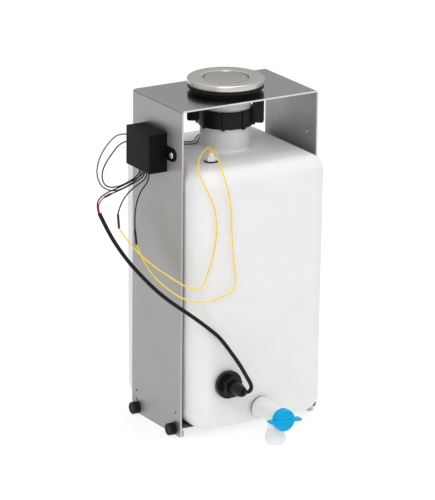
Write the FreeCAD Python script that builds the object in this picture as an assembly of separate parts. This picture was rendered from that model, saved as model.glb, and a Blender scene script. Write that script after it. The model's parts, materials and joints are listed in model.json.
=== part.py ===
"""Fresh water tank for a food cart: a blow-moulded tank that stands on a removable
shelf in a stainless hanger, with a filler in the hanger's top plate, two level
switches, a drain tap and a relay module on the left leg.

Millimetres. +X is the object's right, -Y its front and +Z up. The origin is on the
filler's axis, in the plane of the hanger's feet.
"""
import FreeCAD
import Part
import math
import os

V = FreeCAD.Vector
X_AXIS, Y_AXIS, Z_AXIS = V(1, 0, 0), V(0, 1, 0), V(0, 0, 1)

# ---- Hanger: an inverted U of stainless sheet, and its shelf -------------------
HANGER_WIDTH = 184.0
HANGER_DEPTH = 112.0
HANGER_HEIGHT = 396.0
SHEET = 2.0
BEND_RADIUS = 3.5
SHELF_SHEET = 1.2
SHELF_TOP = 11.2
HEM_HEIGHT = 7.0
HEM_GAP = 0.8
FOOT_GAP = 0.5

# ---- Clearances ----------------------------------------------------------------
SEAT_GAP = 0.3
RUNNING_GAP = 0.06
HOLE_GAP = 0.3

# ---- Small holes in the legs ---------------------------------------------------
SPARE_HOLE_R = 1.3
SPARE_HOLE_Y = 45.0
SPARE_HOLE_LOW_Z = 17.0
SPARE_HOLE_PITCH = 11.0
RAIL_HOLE_R = 1.7
RAIL_HOLE_SPACING = 72.0
RAIL_HOLE_DROP = 54.0

# ---- Thumb screws --------------------------------------------------------------
KNOB_R = 7.3
KNOB_LENGTH = 9.0
KNOB_Y = 42.0
KNOB_Z = 7.6
KNOB_FLUTES = 14
KNOB_FLUTE_R = 0.7
STUD_R = 1.95
STUD_LENGTH = 6.0

# ---- Tank ----------------------------------------------------------------------
TANK_WIDTH = 176.0
TANK_DEPTH = 182.0
TANK_TOP = 327.0
TANK_DRAFT = 0.02
TANK_WALL = 3.0
TANK_CORNER_R = 21.0
TANK_TOP_EDGE_R = 20.0
TANK_BOTTOM_EDGE_R = 19.0

# ---- Threaded neck, coupling nut and filler ------------------------------------
THREAD_R = 29.8
THREAD_DEPTH = 0.9
THREAD_PITCH = 2.31
NECK_WALL = 4.3
NECK_TOP = 368.0
NECK_FLARE = 7.0
UNION_SEAL_T = 1.5
NUT_BASE_Z = 356.0
NUT_HEIGHT = 21.0
NUT_WALL = 2.8
NUT_RIBS = 8
NUT_RIB_R = 2.2
WING_REACH = 45.0
WING_THICKNESS = 7.0
WING_HEIGHT = 27.0
WING_LIFT = 2.0
WING_TURN = -36.0
THROAT_WALL = 5.3
FILLER_LIP_REACH = 6.2
FILLER_LIP_T = 3.0
GASKET_HEIGHT = 9.0
GASKET_FOOT_R = 43.4
GASKET_R = 44.7
DISC_R = 45.3
DISC_T = 7.0
DISC_EDGE_R = 2.2
PLUG_OVERLAP = 1.5
PLUG_RING_GAP = 0.8
PLUG_REACH = 13.0
PLUG_SEAL_SECTION = 1.2

# ---- Low-level switch in the front wall ----------------------------------------
SENSOR_X = -50.5
SENSOR_Z = 71.0
SENSOR_FLANGE_R = 16.6
SENSOR_FLANGE_T = 5.0
SENSOR_HEX = 22.0
SENSOR_HEX_T = 10.0
SENSOR_SHANK_R = 7.9
SENSOR_SEAL_T = 1.5
SENSOR_NUT_T = 5.0
GLAND_THREAD_R = 6.5
GLAND_THREAD_LENGTH = 5.5
GLAND_R = 9.2
GLAND_SKIRT = 11.0
GLAND_LENGTH = 20.0
SENSOR_STEM_R = 5.0
FLOAT_PIN_Y = -58.0
FLOAT_PIN_R = 1.5
FLOAT_R = 8.5
FLOAT_LENGTH = 30.0
FLOAT_EYE_R = 4.0
FLOAT_DROOP = 35.0

# ---- High-level switch in the top wall -----------------------------------------
TOP_SWITCH_X = -46.0
TOP_SWITCH_Y = -44.0
TOP_HEX = 13.0
TOP_HEX_T = 5.5
TOP_BOSS_R = 3.6
TOP_BOSS_T = 4.0
TOP_SHANK_R = 4.9
TOP_SHANK_LENGTH = 15.0
TOP_SEAL_R = 8.0
TOP_SEAL_T = 1.5
TOP_NUT_T = 5.0
TOP_STEM_R = 1.9
TOP_STEM_LENGTH = 50.0
TOP_FLOAT_R = 9.0
TOP_FLOAT_LENGTH = 18.0
CLIP_R = 4.0
CLIP_T = 1.2

# ---- Drain tap -----------------------------------------------------------------
TAP_X = -4.5
TAP_Z = 34.0
TAP_SEAL_T = 2.0
TAP_FLANGE_R = 12.7
TAP_FLANGE_T = 4.0
TAP_HEX = 21.6
TAP_HEX_T = 6.5
TAP_SHANK_R = 9.1
TAP_SHANK_LENGTH = 21.0
TAP_NUT_HEX = 21.0
TAP_NUT_T = 5.0
TAP_BARREL_R = 10.8
TAP_BARREL_LENGTH = 31.0
TAP_INLET_R = 5.6
TAP_CORE_R = 8.0
TAP_CORE_LENGTH = 18.2
TAP_PORT_R = 4.4
SPOUT_REACH = 34.5
SPOUT_TOP_R = 8.5
SPOUT_BELL_R = 12.3
SPOUT_END_Z = 1.5
SPOUT_BORE_R = 9.0
SPOUT_BORE_DEPTH = 11.5
BONNET_R = 11.6
BONNET_T = 3.5
TAP_STEM_R = 4.0
HANDLE_R = 13.2
HANDLE_T = 9.5
HANDLE_SPAN = 43.0
HANDLE_BAR = 3.0
HANDLE_BAR_DEPTH = 8.0
HANDLE_TURN = 3.5
HANDLE_SQUARE = 5.6

# ---- Relay module on the left leg ----------------------------------------------
MODULE_Y = 3.75
MODULE_Z = 339.3
MODULE_DEPTH = 24.2
MODULE_WIDTH = 52.5
MODULE_HEIGHT = 46.5
MODULE_WALL = 2.0
EAR_SPREAD = 72.0
EAR_R = 7.7
EAR_T = 2.0
MODULE_SCREW_R = 1.95
MODULE_SCREW_HEAD_R = 3.8
MODULE_SCREW_HEAD_T = 1.8
MODULE_NUT_T = 3.2
WIRE_SLOT_LENGTH = 26.0
WIRE_SLOT_WIDTH = 7.0
BOARD_T = 1.6

# ---- Cords ---------------------------------------------------------------------
CABLE_D = 4.7
WIRE_D = 1.6
SLEEVE_D = 2.8
CONNECTOR_SIZE = (12.0, 8.0, 6.0)
CONNECTOR_AT = (9.0, 48.0, 331.0)

# ---- Worked out from the sizes above -------------------------------------------
LEG_FACE = HANGER_WIDTH / 2
LEG_INNER = LEG_FACE - SHEET
PLATE_UNDERSIDE = HANGER_HEIGHT - SHEET
TANK_FRONT = -TANK_DEPTH / 2
TANK_HEIGHT = TANK_TOP - SHELF_TOP
NECK_BORE_R = THREAD_R - NECK_WALL
NUT_R = THREAD_R + NUT_WALL
THROAT_R = THREAD_R - THROAT_WALL
FILLER_LIP_R = THREAD_R + FILLER_LIP_REACH
PLUG_R = THROAT_R + PLUG_OVERLAP
TAIL_END = NECK_TOP + UNION_SEAL_T
GASKET_TOP = HANGER_HEIGHT + GASKET_HEIGHT
DISC_TOP = GASKET_TOP + DISC_T


# ---- Shape helpers -------------------------------------------------------------
def box(low, high):
    """Box between two opposite corners."""
    size = [b - a for a, b in zip(low, high)]
    return Part.makeBox(size[0], size[1], size[2], V(*low))


def rod(axis, radius, start, end, at):
    """Cylinder along an axis, from start to end, through the two other coordinates."""
    places = {"x": (start, at[0], at[1]), "y": (at[0], start, at[1]), "z": (at[0], at[1], start)}
    directions = {"x": X_AXIS, "y": Y_AXIS, "z": Z_AXIS}
    return Part.makeCylinder(radius, end - start, V(*places[axis]), directions[axis])


def ring(axis, outer, inner, start, end, at):
    """Tube with flat ends."""
    return rod(axis, outer, start, end, at).cut(rod(axis, inner, start - 1, end + 1, at))


def lathe(points, centre=(0.0, 0.0)):
    """Solid of revolution about a vertical axis, from (radius, z) points."""
    corners = [V(centre[0] + r, centre[1], z) for r, z in points]
    face = Part.Face(Part.makePolygon(corners + [corners[0]]))
    return face.revolve(V(centre[0], centre[1], 0), Z_AXIS, 360)


def hexagon(axis, across_flats, start, end, at):
    """Hexagonal prism, along y or z."""
    radius = across_flats / math.sqrt(3)
    corners = []
    for i in range(7):
        turn = math.radians(60 * i + 30)
        a, b = radius * math.cos(turn), radius * math.sin(turn)
        corners.append(V(at[0] + a, start, at[1] + b) if axis == "y" else V(at[0] + a, at[1] + b, start))
    direction = Y_AXIS if axis == "y" else Z_AXIS
    return Part.Face(Part.makePolygon(corners)).extrude(direction * (end - start))


def join(shapes):
    """One clean solid from overlapping shapes."""
    return shapes[0].fuse(shapes[1:]).removeSplitter()


def group(shapes):
    """Separate solids that share one node."""
    return Part.makeCompound(shapes)


def mirrored_x(shape):
    """Copy on the other side of the object's middle plane."""
    return shape.mirror(V(0, 0, 0), X_AXIS)


def screw_profile(root, crest, low, high):
    """Outline points of a thread's ridges, from low to high."""
    turns = int((high - low) / THREAD_PITCH)
    points = []
    for i in range(turns):
        z = low + i * THREAD_PITCH
        points += [(root, z), (crest, z + 0.8), (crest, z + 1.3)]
    return points + [(root, low + turns * THREAD_PITCH)]


def save(name, shape):
    """Write one sub-part."""
    shape.exportStep("parts/" + name + ".step")


# ---- Hanger and shelf ----------------------------------------------------------
def hanger_bracket():
    """Inverted U of sheet with the filler hole, slots and screw holes."""
    outer = box((-LEG_FACE, -HANGER_DEPTH / 2, 0), (LEG_FACE, HANGER_DEPTH / 2, HANGER_HEIGHT))
    inner = box((-LEG_INNER, -HANGER_DEPTH / 2 - 1, -1), (LEG_INNER, HANGER_DEPTH / 2 + 1, PLATE_UNDERSIDE))
    outer = outer.makeFillet(BEND_RADIUS, long_edges(outer, HANGER_HEIGHT))
    inner = inner.makeFillet(BEND_RADIUS - SHEET, long_edges(inner, PLATE_UNDERSIDE))
    shape = outer.cut(inner)
    holes = [rod("z", THREAD_R + HOLE_GAP, PLATE_UNDERSIDE - 1, HANGER_HEIGHT + 1, (0, 0))]
    through = (-LEG_FACE - 1, LEG_FACE + 1)
    for y in (-KNOB_Y, KNOB_Y):
        holes.append(rod("x", STUD_R + HOLE_GAP, through[0], through[1], (y, KNOB_Z)))
    for y in (-SPARE_HOLE_Y, SPARE_HOLE_Y):
        for z in (SPARE_HOLE_LOW_Z, SPARE_HOLE_LOW_Z + SPARE_HOLE_PITCH):
            holes.append(rod("x", SPARE_HOLE_R, through[0], through[1], (y, z)))
    for y in (-RAIL_HOLE_SPACING / 2, RAIL_HOLE_SPACING / 2):
        at = (y, HANGER_HEIGHT - RAIL_HOLE_DROP)
        holes.append(rod("x", RAIL_HOLE_R, LEG_INNER - 1, LEG_FACE + 1, at))
    for y in ear_places():
        holes.append(rod("x", MODULE_SCREW_R + HOLE_GAP, -LEG_FACE - 1, -LEG_INNER + 1, (y, MODULE_Z)))
    return shape.cut(holes)


def long_edges(shape, z):
    """Edges along y at one height."""
    found = []
    for edge in shape.Edges:
        ends = [v.Point for v in edge.Vertexes]
        if all(abs(p.z - z) < 1e-6 for p in ends) and abs(ends[0].x - ends[1].x) < 1e-6:
            found.append(edge)
    return found


def tank_shelf():
    """Shelf with a hemmed flange at each end, tapped for the thumb screws."""
    foot = FOOT_GAP
    leaf = SHELF_SHEET
    end = LEG_INNER
    inner_leaf = end - leaf - HEM_GAP
    outline = [(end, SHELF_TOP), (end, foot), (inner_leaf - leaf, foot)]
    outline += [(inner_leaf - leaf, foot + HEM_HEIGHT), (inner_leaf, foot + HEM_HEIGHT)]
    outline += [(inner_leaf, foot + leaf), (end - leaf, foot + leaf), (end - leaf, SHELF_TOP - leaf)]
    left = [(-x, z) for x, z in reversed(outline)]
    corners = [V(x, -HANGER_DEPTH / 2, z) for x, z in outline + left]
    shape = Part.Face(Part.makePolygon(corners + [corners[0]])).extrude(Y_AXIS * HANGER_DEPTH)
    taps = []
    for y in (-KNOB_Y, KNOB_Y):
        taps.append(rod("x", STUD_R + RUNNING_GAP, -end - 1, end + 1, (y, KNOB_Z)))
    return shape.cut(taps)


def knob(y):
    """Left-hand thumb screw: fluted head with a groove, and its stud."""
    at = (y, KNOB_Z)
    start = -LEG_FACE - KNOB_LENGTH
    head = rod("x", KNOB_R, start, -LEG_FACE, at)
    head = head.makeChamfer(0.8, [e for e in head.Edges if abs(e.BoundBox.XMax - start) < 1e-6])
    cuts = [ring("x", KNOB_R + 1, KNOB_R - 0.8, start + 2.2, start + 3.2, at)]
    for i in range(KNOB_FLUTES):
        turn = 2 * math.pi * (i + 0.5) / KNOB_FLUTES
        reach = KNOB_R + 0.2
        flute_at = (y + reach * math.cos(turn), KNOB_Z + reach * math.sin(turn))
        cuts.append(rod("x", KNOB_FLUTE_R, start + 3.2, -LEG_FACE - 1.5, flute_at))
    stud = rod("x", STUD_R, -LEG_FACE - 1, -LEG_FACE + STUD_LENGTH, at)
    return join([head.cut(cuts), stud])


# ---- Tank ----------------------------------------------------------------------
def rounded_outline(half_x, half_y, radius, z):
    """Horizontal rounded rectangle."""
    quarter = radius * math.sqrt(0.5)
    edges = []
    for sx, sy in ((1, 1), (-1, 1), (-1, -1), (1, -1)):
        cx, cy = sx * (half_x - radius), sy * (half_y - radius)
        ends = [V(cx + sx * radius, cy, z), V(cx, cy + sy * radius, z)]
        if sx * sy < 0:
            ends.reverse()
        edges.append(Part.Arc(ends[0], V(cx + sx * quarter, cy + sy * quarter, z), ends[1]).toShape())
    loop = []
    for i, arc in enumerate(edges):
        after = edges[(i + 1) % 4]
        start, end = arc.valueAt(arc.LastParameter), after.valueAt(after.FirstParameter)
        loop += [arc, Part.LineSegment(start, end).toShape()]
    return Part.Wire(loop)


def tank_block(inset):
    """Drafted block with rounded corners and edges; inset makes the inside of the wall."""
    low, high = SHELF_TOP + inset, TANK_TOP - inset
    sections = []
    for z, share in ((low, 1 - TANK_DRAFT), (high, 1.0)):
        half_x, half_y = share * TANK_WIDTH / 2 - inset, share * TANK_DEPTH / 2 - inset
        sections.append(rounded_outline(half_x, half_y, TANK_CORNER_R - inset, z))
    block = Part.makeLoft(sections, True, True)
    tops = [e for e in block.Edges if e.BoundBox.ZMin > high - 1e-3]
    block = block.makeFillet(TANK_TOP_EDGE_R - inset, tops)
    bottoms = [e for e in block.Edges if e.BoundBox.ZMax < low + 1e-3]
    return block.makeFillet(TANK_BOTTOM_EDGE_R - inset, bottoms)


def tank_shell():
    """Hollow tank with its threaded neck, pads and three screw holes."""
    sensor_at, tap_at = (SENSOR_X, SENSOR_Z), (TAP_X, TAP_Z)
    pads = [rod("y", SENSOR_FLANGE_R + 1.5, TANK_FRONT, TANK_FRONT + TANK_WALL + 2, sensor_at)]
    pads.append(rod("y", TAP_FLANGE_R + 1.5, TANK_FRONT, tap_nut_face(), tap_at))
    neck = [(NECK_BORE_R, TANK_TOP - TANK_WALL), (THREAD_R + NECK_FLARE, TANK_TOP - TANK_WALL)]
    neck += [(THREAD_R + NECK_FLARE, TANK_TOP), (THREAD_R + 0.35 * NECK_FLARE, TANK_TOP + 0.2 * NECK_FLARE)]
    neck += [(THREAD_R, TANK_TOP + 0.6 * NECK_FLARE)]
    neck += screw_profile(THREAD_R - THREAD_DEPTH, THREAD_R, TANK_TOP + 0.8 * NECK_FLARE, NECK_TOP - 1)
    neck += [(THREAD_R - THREAD_DEPTH, NECK_TOP), (NECK_BORE_R, NECK_TOP)]
    walls = join([tank_block(0.0), lathe(neck)] + pads)
    hollow = tank_block(TANK_WALL)
    hollow = hollow.cut([rod("y", TAP_FLANGE_R + 1.5, TANK_FRONT - 1, tap_nut_face(), tap_at)])
    holes = [rod("z", NECK_BORE_R, TANK_TOP - 2 * TANK_WALL, NECK_TOP + 1, (0, 0))]
    holes.append(rod("y", SENSOR_SHANK_R + HOLE_GAP, TANK_FRONT - 1, TANK_FRONT + 12, sensor_at))
    holes.append(rod("y", TAP_SHANK_R + HOLE_GAP, TANK_FRONT - 1, tap_nut_face() + 1, tap_at))
    top_at = (TOP_SWITCH_X, TOP_SWITCH_Y)
    holes.append(rod("z", TOP_SHANK_R + HOLE_GAP, TANK_TOP - 2 * TANK_WALL, TANK_TOP + 1, top_at))
    return walls.cut([hollow] + holes)


def tap_nut_face():
    """Where the drain tap's inner pad ends."""
    return TANK_FRONT + 11.0


# ---- Filler, plug and coupling nut ---------------------------------------------
def coupling_nut():
    """Winged sleeve nut that joins the tank's neck to the filler's tail."""
    top = NUT_BASE_Z + NUT_HEIGHT
    body = rod("z", NUT_R, NUT_BASE_Z, top, (0, 0))
    shapes = [body]
    for i in range(NUT_RIBS):
        turn = math.radians(WING_TURN + 360 * i / NUT_RIBS)
        at = (NUT_R * math.cos(turn), NUT_R * math.sin(turn))
        shapes.append(rod("z", NUT_RIB_R, NUT_BASE_Z - 0.8, top - 1, at))
    low = NUT_BASE_Z + WING_LIFT
    for turn in (WING_TURN, WING_TURN + 180):
        root, half = THREAD_R + 1.5, WING_THICKNESS / 2
        wing = box((root, -half, low), (WING_REACH, half, low + WING_HEIGHT))
        tips = [e for e in wing.Edges if e.BoundBox.XMin > WING_REACH - 1e-3]
        wing = wing.makeFillet(2.5, tips)
        wing.rotate(V(0, 0, 0), Z_AXIS, turn)
        shapes.append(wing)
    bore = rod("z", THREAD_R + RUNNING_GAP, NUT_BASE_Z - 2, low + WING_HEIGHT + 2, (0, 0))
    return join(shapes).cut(bore)


def union_seal():
    """Flat ring between the neck and the tail."""
    return ring("z", THREAD_R - THREAD_DEPTH - 0.4, NECK_BORE_R, NECK_TOP, TAIL_END, (0, 0))


def filler_body():
    """Threaded tail with a lip that hangs on the gasket."""
    lip = GASKET_TOP - FILLER_LIP_T
    points = [(THROAT_R, TAIL_END)]
    points += screw_profile(THREAD_R - THREAD_DEPTH, THREAD_R, TAIL_END + 0.5, HANGER_HEIGHT - 8)
    points += [(THREAD_R, HANGER_HEIGHT - 7), (THREAD_R, lip), (FILLER_LIP_R, lip)]
    points += [(FILLER_LIP_R, GASKET_TOP), (THROAT_R, GASKET_TOP)]
    return lathe(points)


def filler_gasket():
    """Black collar between the plate and the disc, a little wider at its top."""
    lip = GASKET_TOP - FILLER_LIP_T
    points = [(THREAD_R + HOLE_GAP, HANGER_HEIGHT), (GASKET_FOOT_R, HANGER_HEIGHT)]
    points += [(GASKET_R, GASKET_TOP - 1), (GASKET_R, GASKET_TOP)]
    seat_r = FILLER_LIP_R + HOLE_GAP
    points += [(seat_r, GASKET_TOP), (seat_r, lip), (THREAD_R + HOLE_GAP, lip)]
    return lathe(points)


def filler_disc():
    """Thick stainless cover disc with a rounded edge."""
    bore = PLUG_R + PLUG_RING_GAP
    low, top = GASKET_TOP, DISC_TOP - 0.2
    crest = V(DISC_R - DISC_EDGE_R, 0, top)
    rim = V(DISC_R, 0, top - DISC_EDGE_R)
    cut = DISC_EDGE_R * (1 - math.sqrt(0.5))
    corners = [V(bore, 0, low), V(DISC_R - 0.6, 0, low), V(DISC_R, 0, low + 0.6), rim]
    outline = [Part.LineSegment(one, two).toShape() for one, two in zip(corners, corners[1:])]
    outline.append(Part.Arc(rim, V(DISC_R - cut, 0, top - cut), crest).toShape())
    corners = [crest, V(bore, 0, DISC_TOP), corners[0]]
    outline += [Part.LineSegment(one, two).toShape() for one, two in zip(corners, corners[1:])]
    return Part.Face(Part.Wire(outline)).revolve(V(0, 0, 0), Z_AXIS, 360)


def plug_cap():
    """Stainless button that covers the throat."""
    edge, top, flat = DISC_TOP - 0.9, DISC_TOP + 0.3, 6.0
    corners = [V(0, 0, GASKET_TOP), V(PLUG_R, 0, GASKET_TOP), V(PLUG_R, 0, edge)]
    corners += [V(flat, 0, top), V(0, 0, top)]
    outline = [Part.LineSegment(corners[0], corners[1]).toShape()]
    outline.append(Part.LineSegment(corners[1], corners[2]).toShape())
    outline.append(Part.Arc(corners[2], V(PLUG_R * 0.6, 0, DISC_TOP), corners[3]).toShape())
    outline.append(Part.LineSegment(corners[3], corners[4]).toShape())
    outline.append(Part.LineSegment(corners[4], corners[0]).toShape())
    return Part.Face(Part.Wire(outline)).revolve(V(0, 0, 0), Z_AXIS, 360)


def plug_body():
    """Plastic plug under the button, with a groove for its seal."""
    radius = THROAT_R - HOLE_GAP
    groove = GASKET_TOP - 4.5
    section = PLUG_SEAL_SECTION
    root = radius - section
    points = [(0, GASKET_TOP), (radius, GASKET_TOP), (radius, groove + section), (root, groove + section)]
    points += [(root, groove - section), (radius, groove - section)]
    nose = GASKET_TOP - PLUG_REACH
    points += [(radius, GASKET_TOP - 9), (radius - 4, nose), (0, nose)]
    return lathe(points)


def plug_seal():
    """Rubber ring in the plug's groove, just clear of the throat."""
    groove = GASKET_TOP - 4.5
    inner = THROAT_R - HOLE_GAP - PLUG_SEAL_SECTION
    height = PLUG_SEAL_SECTION - 0.1
    return ring("z", THROAT_R - RUNNING_GAP, inner, groove - height, groove + height, (0, 0))


# ---- Low-level switch ----------------------------------------------------------
def sensor_hex_face():
    """Front face of the switch's hexagon."""
    return TANK_FRONT - SENSOR_SEAL_T - SENSOR_FLANGE_T - SENSOR_HEX_T


def sensor_body():
    """Flange, hexagon, shank, stem and fork in one moulding."""
    at = (SENSOR_X, SENSOR_Z)
    seat = TANK_FRONT - SENSOR_SEAL_T
    hex_back = seat - SENSOR_FLANGE_T
    hex_face = sensor_hex_face()
    shank_end = TANK_FRONT + TANK_WALL + 9.0
    shapes = [rod("y", SENSOR_FLANGE_R, hex_back, seat, at)]
    shapes.append(hexagon("y", SENSOR_HEX, hex_face, hex_back, at))
    shapes.append(rod("y", GLAND_THREAD_R, hex_face - GLAND_THREAD_LENGTH, hex_face, at))
    shapes.append(rod("y", SENSOR_SHANK_R, seat, shank_end, at))
    shapes.append(rod("y", SENSOR_STEM_R, shank_end, FLOAT_PIN_Y - FLOAT_EYE_R - 1, at))
    fork = box((SENSOR_X - 5.3, FLOAT_PIN_Y - 8, SENSOR_Z - 3.5),
               (SENSOR_X + 5.3, FLOAT_PIN_Y + 3, SENSOR_Z + 3.5))
    gap = box((SENSOR_X - 3.3, FLOAT_PIN_Y - 4.6, SENSOR_Z - 4),
              (SENSOR_X + 3.3, FLOAT_PIN_Y + 4, SENSOR_Z + 4))
    pin_hole = rod("x", FLOAT_PIN_R, SENSOR_X - 6, SENSOR_X + 6, (FLOAT_PIN_Y, SENSOR_Z))
    shapes.append(fork.cut([gap, pin_hole]))
    return join(shapes).cut([gap, pin_hole])


def sensor_seal():
    """Rubber washer under the flange."""
    return ring("y", SENSOR_FLANGE_R - 1, SENSOR_SHANK_R + HOLE_GAP, TANK_FRONT - SENSOR_SEAL_T, TANK_FRONT,
                (SENSOR_X, SENSOR_Z))


def sensor_locknut():
    """Nut inside the tank."""
    at = (SENSOR_X, SENSOR_Z)
    start = TANK_FRONT + TANK_WALL + 2 + SEAT_GAP
    return hexagon("y", SENSOR_HEX, start, start + SENSOR_NUT_T, at).cut(
        rod("y", SENSOR_SHANK_R + RUNNING_GAP, start - 1, start + SENSOR_NUT_T + 1, at))


def gland_nut():
    """Domed nut that grips the cable."""
    at = (SENSOR_X, SENSOR_Z)
    back = sensor_hex_face() - 0.2
    front = back - GLAND_LENGTH
    skirt = rod("y", GLAND_R, back - GLAND_SKIRT, back, at)
    reach = GLAND_LENGTH - GLAND_SKIRT
    dome = Part.makeCone(CABLE_D / 2 + 3.0, GLAND_R, reach, V(SENSOR_X, front, SENSOR_Z), Y_AXIS)
    thread = rod("y", GLAND_THREAD_R + RUNNING_GAP, gland_seal_front(), back + 1, at)
    return join([skirt, dome]).cut([thread, rod("y", CABLE_D / 2 + 0.1, front - 1, back, at)])


def gland_seal_front():
    """Front face of the rubber inside the gland."""
    return sensor_hex_face() - GLAND_THREAD_LENGTH - 4.0


def gland_seal():
    """Rubber bush inside the gland."""
    start = gland_seal_front()
    return ring("y", GLAND_THREAD_R - 0.1, CABLE_D / 2 + 0.05, start, start + 4.0, (SENSOR_X, SENSOR_Z))


def float_pin():
    """Pin through the fork."""
    return rod("x", FLOAT_PIN_R, SENSOR_X - 5.3, SENSOR_X + 5.3, (FLOAT_PIN_Y, SENSOR_Z))


def sensor_float():
    """Float and its eye, hanging down on the fork's stop."""
    at = (SENSOR_X, SENSOR_Z)
    start = FLOAT_PIN_Y + 8.0
    body = rod("y", FLOAT_R, start, start + FLOAT_LENGTH, at)
    body = body.makeFillet(3.0, [e for e in body.Edges if e.BoundBox.YLength < 1e-3])
    arm = box((SENSOR_X - 3, FLOAT_PIN_Y, SENSOR_Z - 2.5), (SENSOR_X + 3, start + 1, SENSOR_Z + 2.5))
    eye = rod("x", FLOAT_EYE_R, SENSOR_X - 3, SENSOR_X + 3, (FLOAT_PIN_Y, SENSOR_Z))
    hole = rod("x", FLOAT_PIN_R + RUNNING_GAP, SENSOR_X - 4, SENSOR_X + 4, (FLOAT_PIN_Y, SENSOR_Z))
    shape = join([body, arm, eye]).cut(hole)
    shape.rotate(V(SENSOR_X, FLOAT_PIN_Y, SENSOR_Z), X_AXIS, -FLOAT_DROOP)
    return shape


# ---- High-level switch ---------------------------------------------------------
def top_stem_end():
    """Lower end of the stem."""
    return TANK_TOP + TOP_SEAL_T - TOP_SHANK_LENGTH - TOP_STEM_LENGTH


def top_switch_body():
    """Hexagon, boss, shank and stem."""
    at = (TOP_SWITCH_X, TOP_SWITCH_Y)
    seat = TANK_TOP + TOP_SEAL_T
    shank_end = seat - TOP_SHANK_LENGTH
    shapes = [hexagon("z", TOP_HEX, seat, seat + TOP_HEX_T, at)]
    shapes.append(rod("z", TOP_BOSS_R, seat + TOP_HEX_T, seat + TOP_HEX_T + TOP_BOSS_T, at))
    shapes.append(rod("z", TOP_SHANK_R, shank_end, seat, at))
    shapes.append(rod("z", TOP_STEM_R, top_stem_end(), shank_end, at))
    clip_z = top_stem_end() + 1
    return join(shapes).cut(ring("z", CLIP_R, TOP_STEM_R - 0.4, clip_z, clip_z + CLIP_T, at))


def top_switch_seal():
    """Rubber washer on the tank's top."""
    at = (TOP_SWITCH_X, TOP_SWITCH_Y)
    return ring("z", TOP_SEAL_R, TOP_SHANK_R + HOLE_GAP, TANK_TOP, TANK_TOP + TOP_SEAL_T, at)


def top_switch_nut():
    """Nut under the tank's top wall."""
    at = (TOP_SWITCH_X, TOP_SWITCH_Y)
    high = TANK_TOP - TANK_WALL - SEAT_GAP
    return hexagon("z", TOP_HEX, high - TOP_NUT_T, high, at).cut(
        rod("z", TOP_SHANK_R + RUNNING_GAP, high - TOP_NUT_T - 1, high + 1, at))


def top_switch_clip():
    """Clip that keeps the float on the stem."""
    clip_z = top_stem_end() + 1
    return ring("z", CLIP_R, TOP_STEM_R - 0.4, clip_z, clip_z + CLIP_T, (TOP_SWITCH_X, TOP_SWITCH_Y))


def top_switch_float():
    """Float, down on its clip."""
    at = (TOP_SWITCH_X, TOP_SWITCH_Y)
    low = top_stem_end() + 1 + CLIP_T
    return ring("z", TOP_FLOAT_R, TOP_STEM_R + 0.35, low, low + TOP_FLOAT_LENGTH, at)


# ---- Drain tap -----------------------------------------------------------------
TAP_AT = (TAP_X, TAP_Z)
TAP_SEAT = TANK_FRONT - TAP_SEAL_T
TAP_HEX_FACE = TAP_SEAT - TAP_FLANGE_T - TAP_HEX_T
TAP_FACE = TAP_HEX_FACE - TAP_BARREL_LENGTH
SPOUT_Y = TANK_FRONT - SPOUT_REACH
CORE_BACK = TAP_FACE + 1.5 + TAP_CORE_LENGTH
HANDLE_BACK = TAP_FACE - BONNET_T - 0.5


def drain_body():
    """Flange, hexagon, barrel and spout in one moulding."""
    shapes = [rod("y", TAP_FLANGE_R, TAP_SEAT - TAP_FLANGE_T, TAP_SEAT, TAP_AT)]
    shapes.append(hexagon("y", TAP_HEX, TAP_HEX_FACE, TAP_SEAT - TAP_FLANGE_T, TAP_AT))
    shapes.append(rod("y", TAP_BARREL_R, TAP_FACE, TAP_HEX_FACE, TAP_AT))
    shapes.append(rod("y", TAP_SHANK_R, TAP_SEAT, TAP_SEAT + TAP_SHANK_LENGTH, TAP_AT))
    outside = [(0, TAP_Z), (SPOUT_TOP_R, TAP_Z), (SPOUT_TOP_R + 0.3, SPOUT_END_Z + 19)]
    flare = 0.6 * SPOUT_TOP_R + 0.4 * SPOUT_BELL_R
    outside += [(flare, SPOUT_END_Z + 14), (SPOUT_BELL_R, SPOUT_END_Z + 6.5)]
    outside += [(SPOUT_BELL_R - 0.2, SPOUT_END_Z + 3.5), (SPOUT_BELL_R - 1, SPOUT_END_Z + 1.2)]
    outside += [(SPOUT_BELL_R - 2.1, SPOUT_END_Z), (0, SPOUT_END_Z)]
    shapes.append(lathe(outside, (TAP_X, SPOUT_Y)))
    cuts = [rod("y", TAP_CORE_R, TAP_FACE - 1, CORE_BACK + SEAT_GAP, TAP_AT)]
    cuts.append(rod("y", TAP_INLET_R, CORE_BACK, TAP_SEAT + TAP_SHANK_LENGTH + 1, TAP_AT))
    cuts.append(rod("z", TAP_PORT_R, SPOUT_END_Z - 1, TAP_Z, (TAP_X, SPOUT_Y)))
    cuts.append(rod("z", SPOUT_BORE_R, SPOUT_END_Z - 1, SPOUT_END_Z + SPOUT_BORE_DEPTH, (TAP_X, SPOUT_Y)))
    return join(shapes).cut(cuts)


def drain_seal():
    """Rubber washer under the tap's flange."""
    return ring("y", TAP_FLANGE_R - 0.6, TAP_SHANK_R + HOLE_GAP, TAP_SEAT, TANK_FRONT, TAP_AT)


def drain_locknut():
    """Nut on the tap's shank inside the tank."""
    start = tap_nut_face() + SEAT_GAP
    return hexagon("y", TAP_NUT_HEX, start, start + TAP_NUT_T, TAP_AT).cut(
        rod("y", TAP_SHANK_R + RUNNING_GAP, start - 1, start + TAP_NUT_T + 1, TAP_AT))


def core_grooves():
    """Middles of the two seal grooves on the core."""
    return (CORE_BACK - 2.0, CORE_BACK - TAP_CORE_LENGTH + 2.0)


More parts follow.
